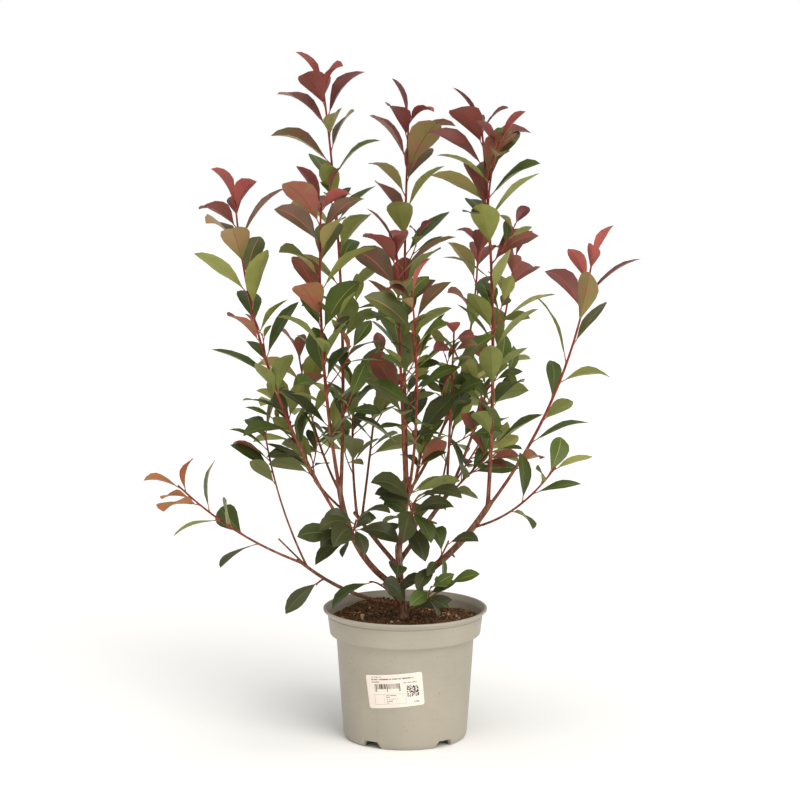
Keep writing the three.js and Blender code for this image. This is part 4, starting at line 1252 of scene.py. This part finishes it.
# Frames: left, right, foot and top.
PRINT_FRAMES = [(-29, 15, -18.2, -3.9), (-29, -15, -18.2, -3.9)]
FRAME_LINE = 0.45
FRAME_STEPS = 12
BARS = {"left": -28, "right": 8.6, "foot": 3.3, "long_foot": -0.3, "top": 10.4}
SQUARES = {"left": 17, "foot": -9.5, "each": 1.2, "count": 13, "filled": 0.5}
LABEL_SEED = 21
MOST_MARKS = 60
BAR_STEPS = (0.9, 1.2, 1.5)
BAR_WIDTHS = (0.45, 0.65, 0.95)
DASH_STEPS = (1.3, 1.5, 2.5)
DASH_WIDTHS = (0.8, 1.2)
MARK_SUNK = 0.1
MARK_RAISED = 0.06
# Which edges of a box each of its eight points lies on, and its six faces.
BOX_SIDES = [0, 1, 1, 0, 0, 1, 1, 0]
BOX_HEIGHTS = [2, 2, 3, 3, 2, 2, 3, 3]
BOX_FACES = [(4, 5, 6, 7), (0, 3, 2, 1), (0, 1, 5, 4), (1, 2, 6, 5), (2, 3, 7, 6), (3, 0, 4, 7)]
INKS = [("label_print", (40, 36, 34)), ("pale_label_print", (196, 186, 176))]


def frame_lines(left, right, foot, top):
    """The four lines of a frame, with the level ones in short steps that follow the pot's round side."""
    cuts = np.linspace(left, right, FRAME_STEPS + 1)
    level = [
        (start, stop, low, low + FRAME_LINE)
        for low in (foot, top - FRAME_LINE) for start, stop in zip(cuts[:-1], cuts[1:])
    ]
    return [*level, (left, left + FRAME_LINE, foot, top), (right - FRAME_LINE, right, foot, top)]


def side_by_side(left, right, foot, top):
    """Boxes from their edges, where an edge is one number for all or one for each."""
    return np.stack(np.broadcast_arrays(left, right, foot, top), -1)


def starts_between(left, right, steps, rng):
    starts = left + np.cumsum(rng.choice(steps, MOST_MARKS))
    return starts[starts < right]


def label_marks():
    """Plain bars, dashes, squares and pale frames on the label, each a flat box of eight points."""
    rng = np.random.default_rng(LABEL_SEED)
    starts = starts_between(BARS["left"], BARS["right"], BAR_STEPS, rng)
    count = len(starts)
    long_ones = np.isin(np.arange(count), [0, 1, count // 2, count - 2, count - 1])
    feet = np.where(long_ones, BARS["long_foot"], BARS["foot"])
    boxes = [side_by_side(starts, starts + rng.choice(BAR_WIDTHS, count), feet, BARS["top"])]
    for left, right, top, thick in PRINT_ROWS:
        starts = starts_between(left, right, DASH_STEPS, rng)
        boxes.append(side_by_side(starts, starts + rng.uniform(*DASH_WIDTHS, len(starts)), top - thick, top))
    across, up = np.meshgrid(np.arange(SQUARES["count"]), np.arange(SQUARES["count"]))
    filled = rng.random(across.shape) < SQUARES["filled"]
    left = SQUARES["left"] + across[filled] * SQUARES["each"]
    foot = SQUARES["foot"] + up[filled] * SQUARES["each"]
    boxes.append(side_by_side(left, left + SQUARES["each"], foot, foot + SQUARES["each"]))
    frames = [line for edges in PRINT_FRAMES for line in frame_lines(*edges)]
    boxes = np.concatenate([*boxes, frames])
    lift = LABEL_LIFT + np.array([-MARK_SUNK] * 4 + [MARK_RAISED] * 4)
    shape = repeated(on_label(boxes[:, BOX_SIDES], boxes[:, BOX_HEIGHTS], lift), *plain_faces(BOX_FACES))
    shape.finish[-len(BOX_FACES) * len(frames):] = 1
    inks = []
    for name, colour in INKS:
        made, tree, surface = new_finish(name, roughness=0.6)
        surface.inputs["Base Color"].default_value = shade(*colour)
        glossed(tree, surface, object_noise(tree, scale=300, detail=2), low=0.5, high=0.7)
        inks.append(made)
    add_piece("label_marks", shape, inks, ["label"], crease=30)


label_marks()


# The floor, the light and the camera

FLOOR_SIDES = 64
FLOOR_RADIUS = 9000
FLOOR_HEIGHT = -0.1
FLOOR_COLOUR = (0.96, 0.96, 0.96, 1)
STUDIO_GLOW = 0.4
LAMP_COLOUR = (1, 0.975, 0.925)
# Lamps: name, degrees to the right and up, strength and breadth in degrees.
LAMPS = [("key_light", 32, 38, 1.68, 40), ("left_light", -50, 30, 0.1, 50), ("top_light", 0, 80, 1.5, 50)]
CAMERA_PLACE = (-0.0071, -3.4, 0.9465)
CAMERA_TILT = 8.03
CAMERA_LENS = 113.76
CAMERA_FRAME = 36
CAMERA_REACH = 50


def put(name, data):
    """One thing of its own in the scene."""
    made = bpy.data.objects.new(name, data)
    bpy.context.collection.objects.link(made)
    return made


def add_floor():
    mesh = bpy.data.meshes.new("pale_floor")
    edge = round_places(np.arange(FLOOR_SIDES) / FLOOR_SIDES * 2 * np.pi, FLOOR_RADIUS, FLOOR_HEIGHT)
    mesh.from_pydata((edge * MM).tolist(), [], [list(range(FLOOR_SIDES))])
    made, tree, surface = new_finish("pale_floor", roughness=0.9, specular=0.1)
    surface.inputs["Base Color"].default_value = FLOOR_COLOUR
    mesh.materials.append(made)
    floor = put("pale_floor", mesh)


def add_soft_light(name, degrees_right, degrees_up, strength, breadth):
    """Even studio light from one side of the sky: a far lamp as broad as a large soft box looks."""
    data = bpy.data.lights.new(name, "SUN")
    data.energy = strength
    data.color = LAMP_COLOUR
    data.angle = math.radians(breadth)
    put(name, data).rotation_euler = (math.radians(90 - degrees_up), 0, math.radians(degrees_right))


def add_camera():
    data = bpy.data.cameras.new("photo_camera")
    data.lens = CAMERA_LENS
    data.sensor_width = CAMERA_FRAME
    data.clip_end = CAMERA_REACH
    camera = put("photo_camera", data)
    camera.location = CAMERA_PLACE
    camera.rotation_euler = (math.radians(90 - CAMERA_TILT), 0, 0)
    bpy.context.scene.camera = camera
    bpy.context.scene.view_settings.view_transform = "Standard"


def add_studio():
    """A studio that glows evenly on the object and shows plain white behind it."""
    world = bpy.data.worlds.new("studio")
    world.use_nodes = True
    bpy.context.scene.world = world
    tree = world.node_tree
    chosen = node(tree, "MixShader", Fac=node(tree, "LightPath").outputs["Is Camera Ray"])
    for place, strength in ((1, STUDIO_GLOW), (2, 1)):
        glow = node(tree, "Background", Color=WHITE, Strength=strength)
        tree.links.new(glow.outputs["Background"], chosen.inputs[place])
    tree.links.new(chosen.outputs["Shader"], tree.nodes["World Output"].inputs["Surface"])


add_floor()
add_studio()
for lamp in LAMPS:
    add_soft_light(*lamp)
add_camera()
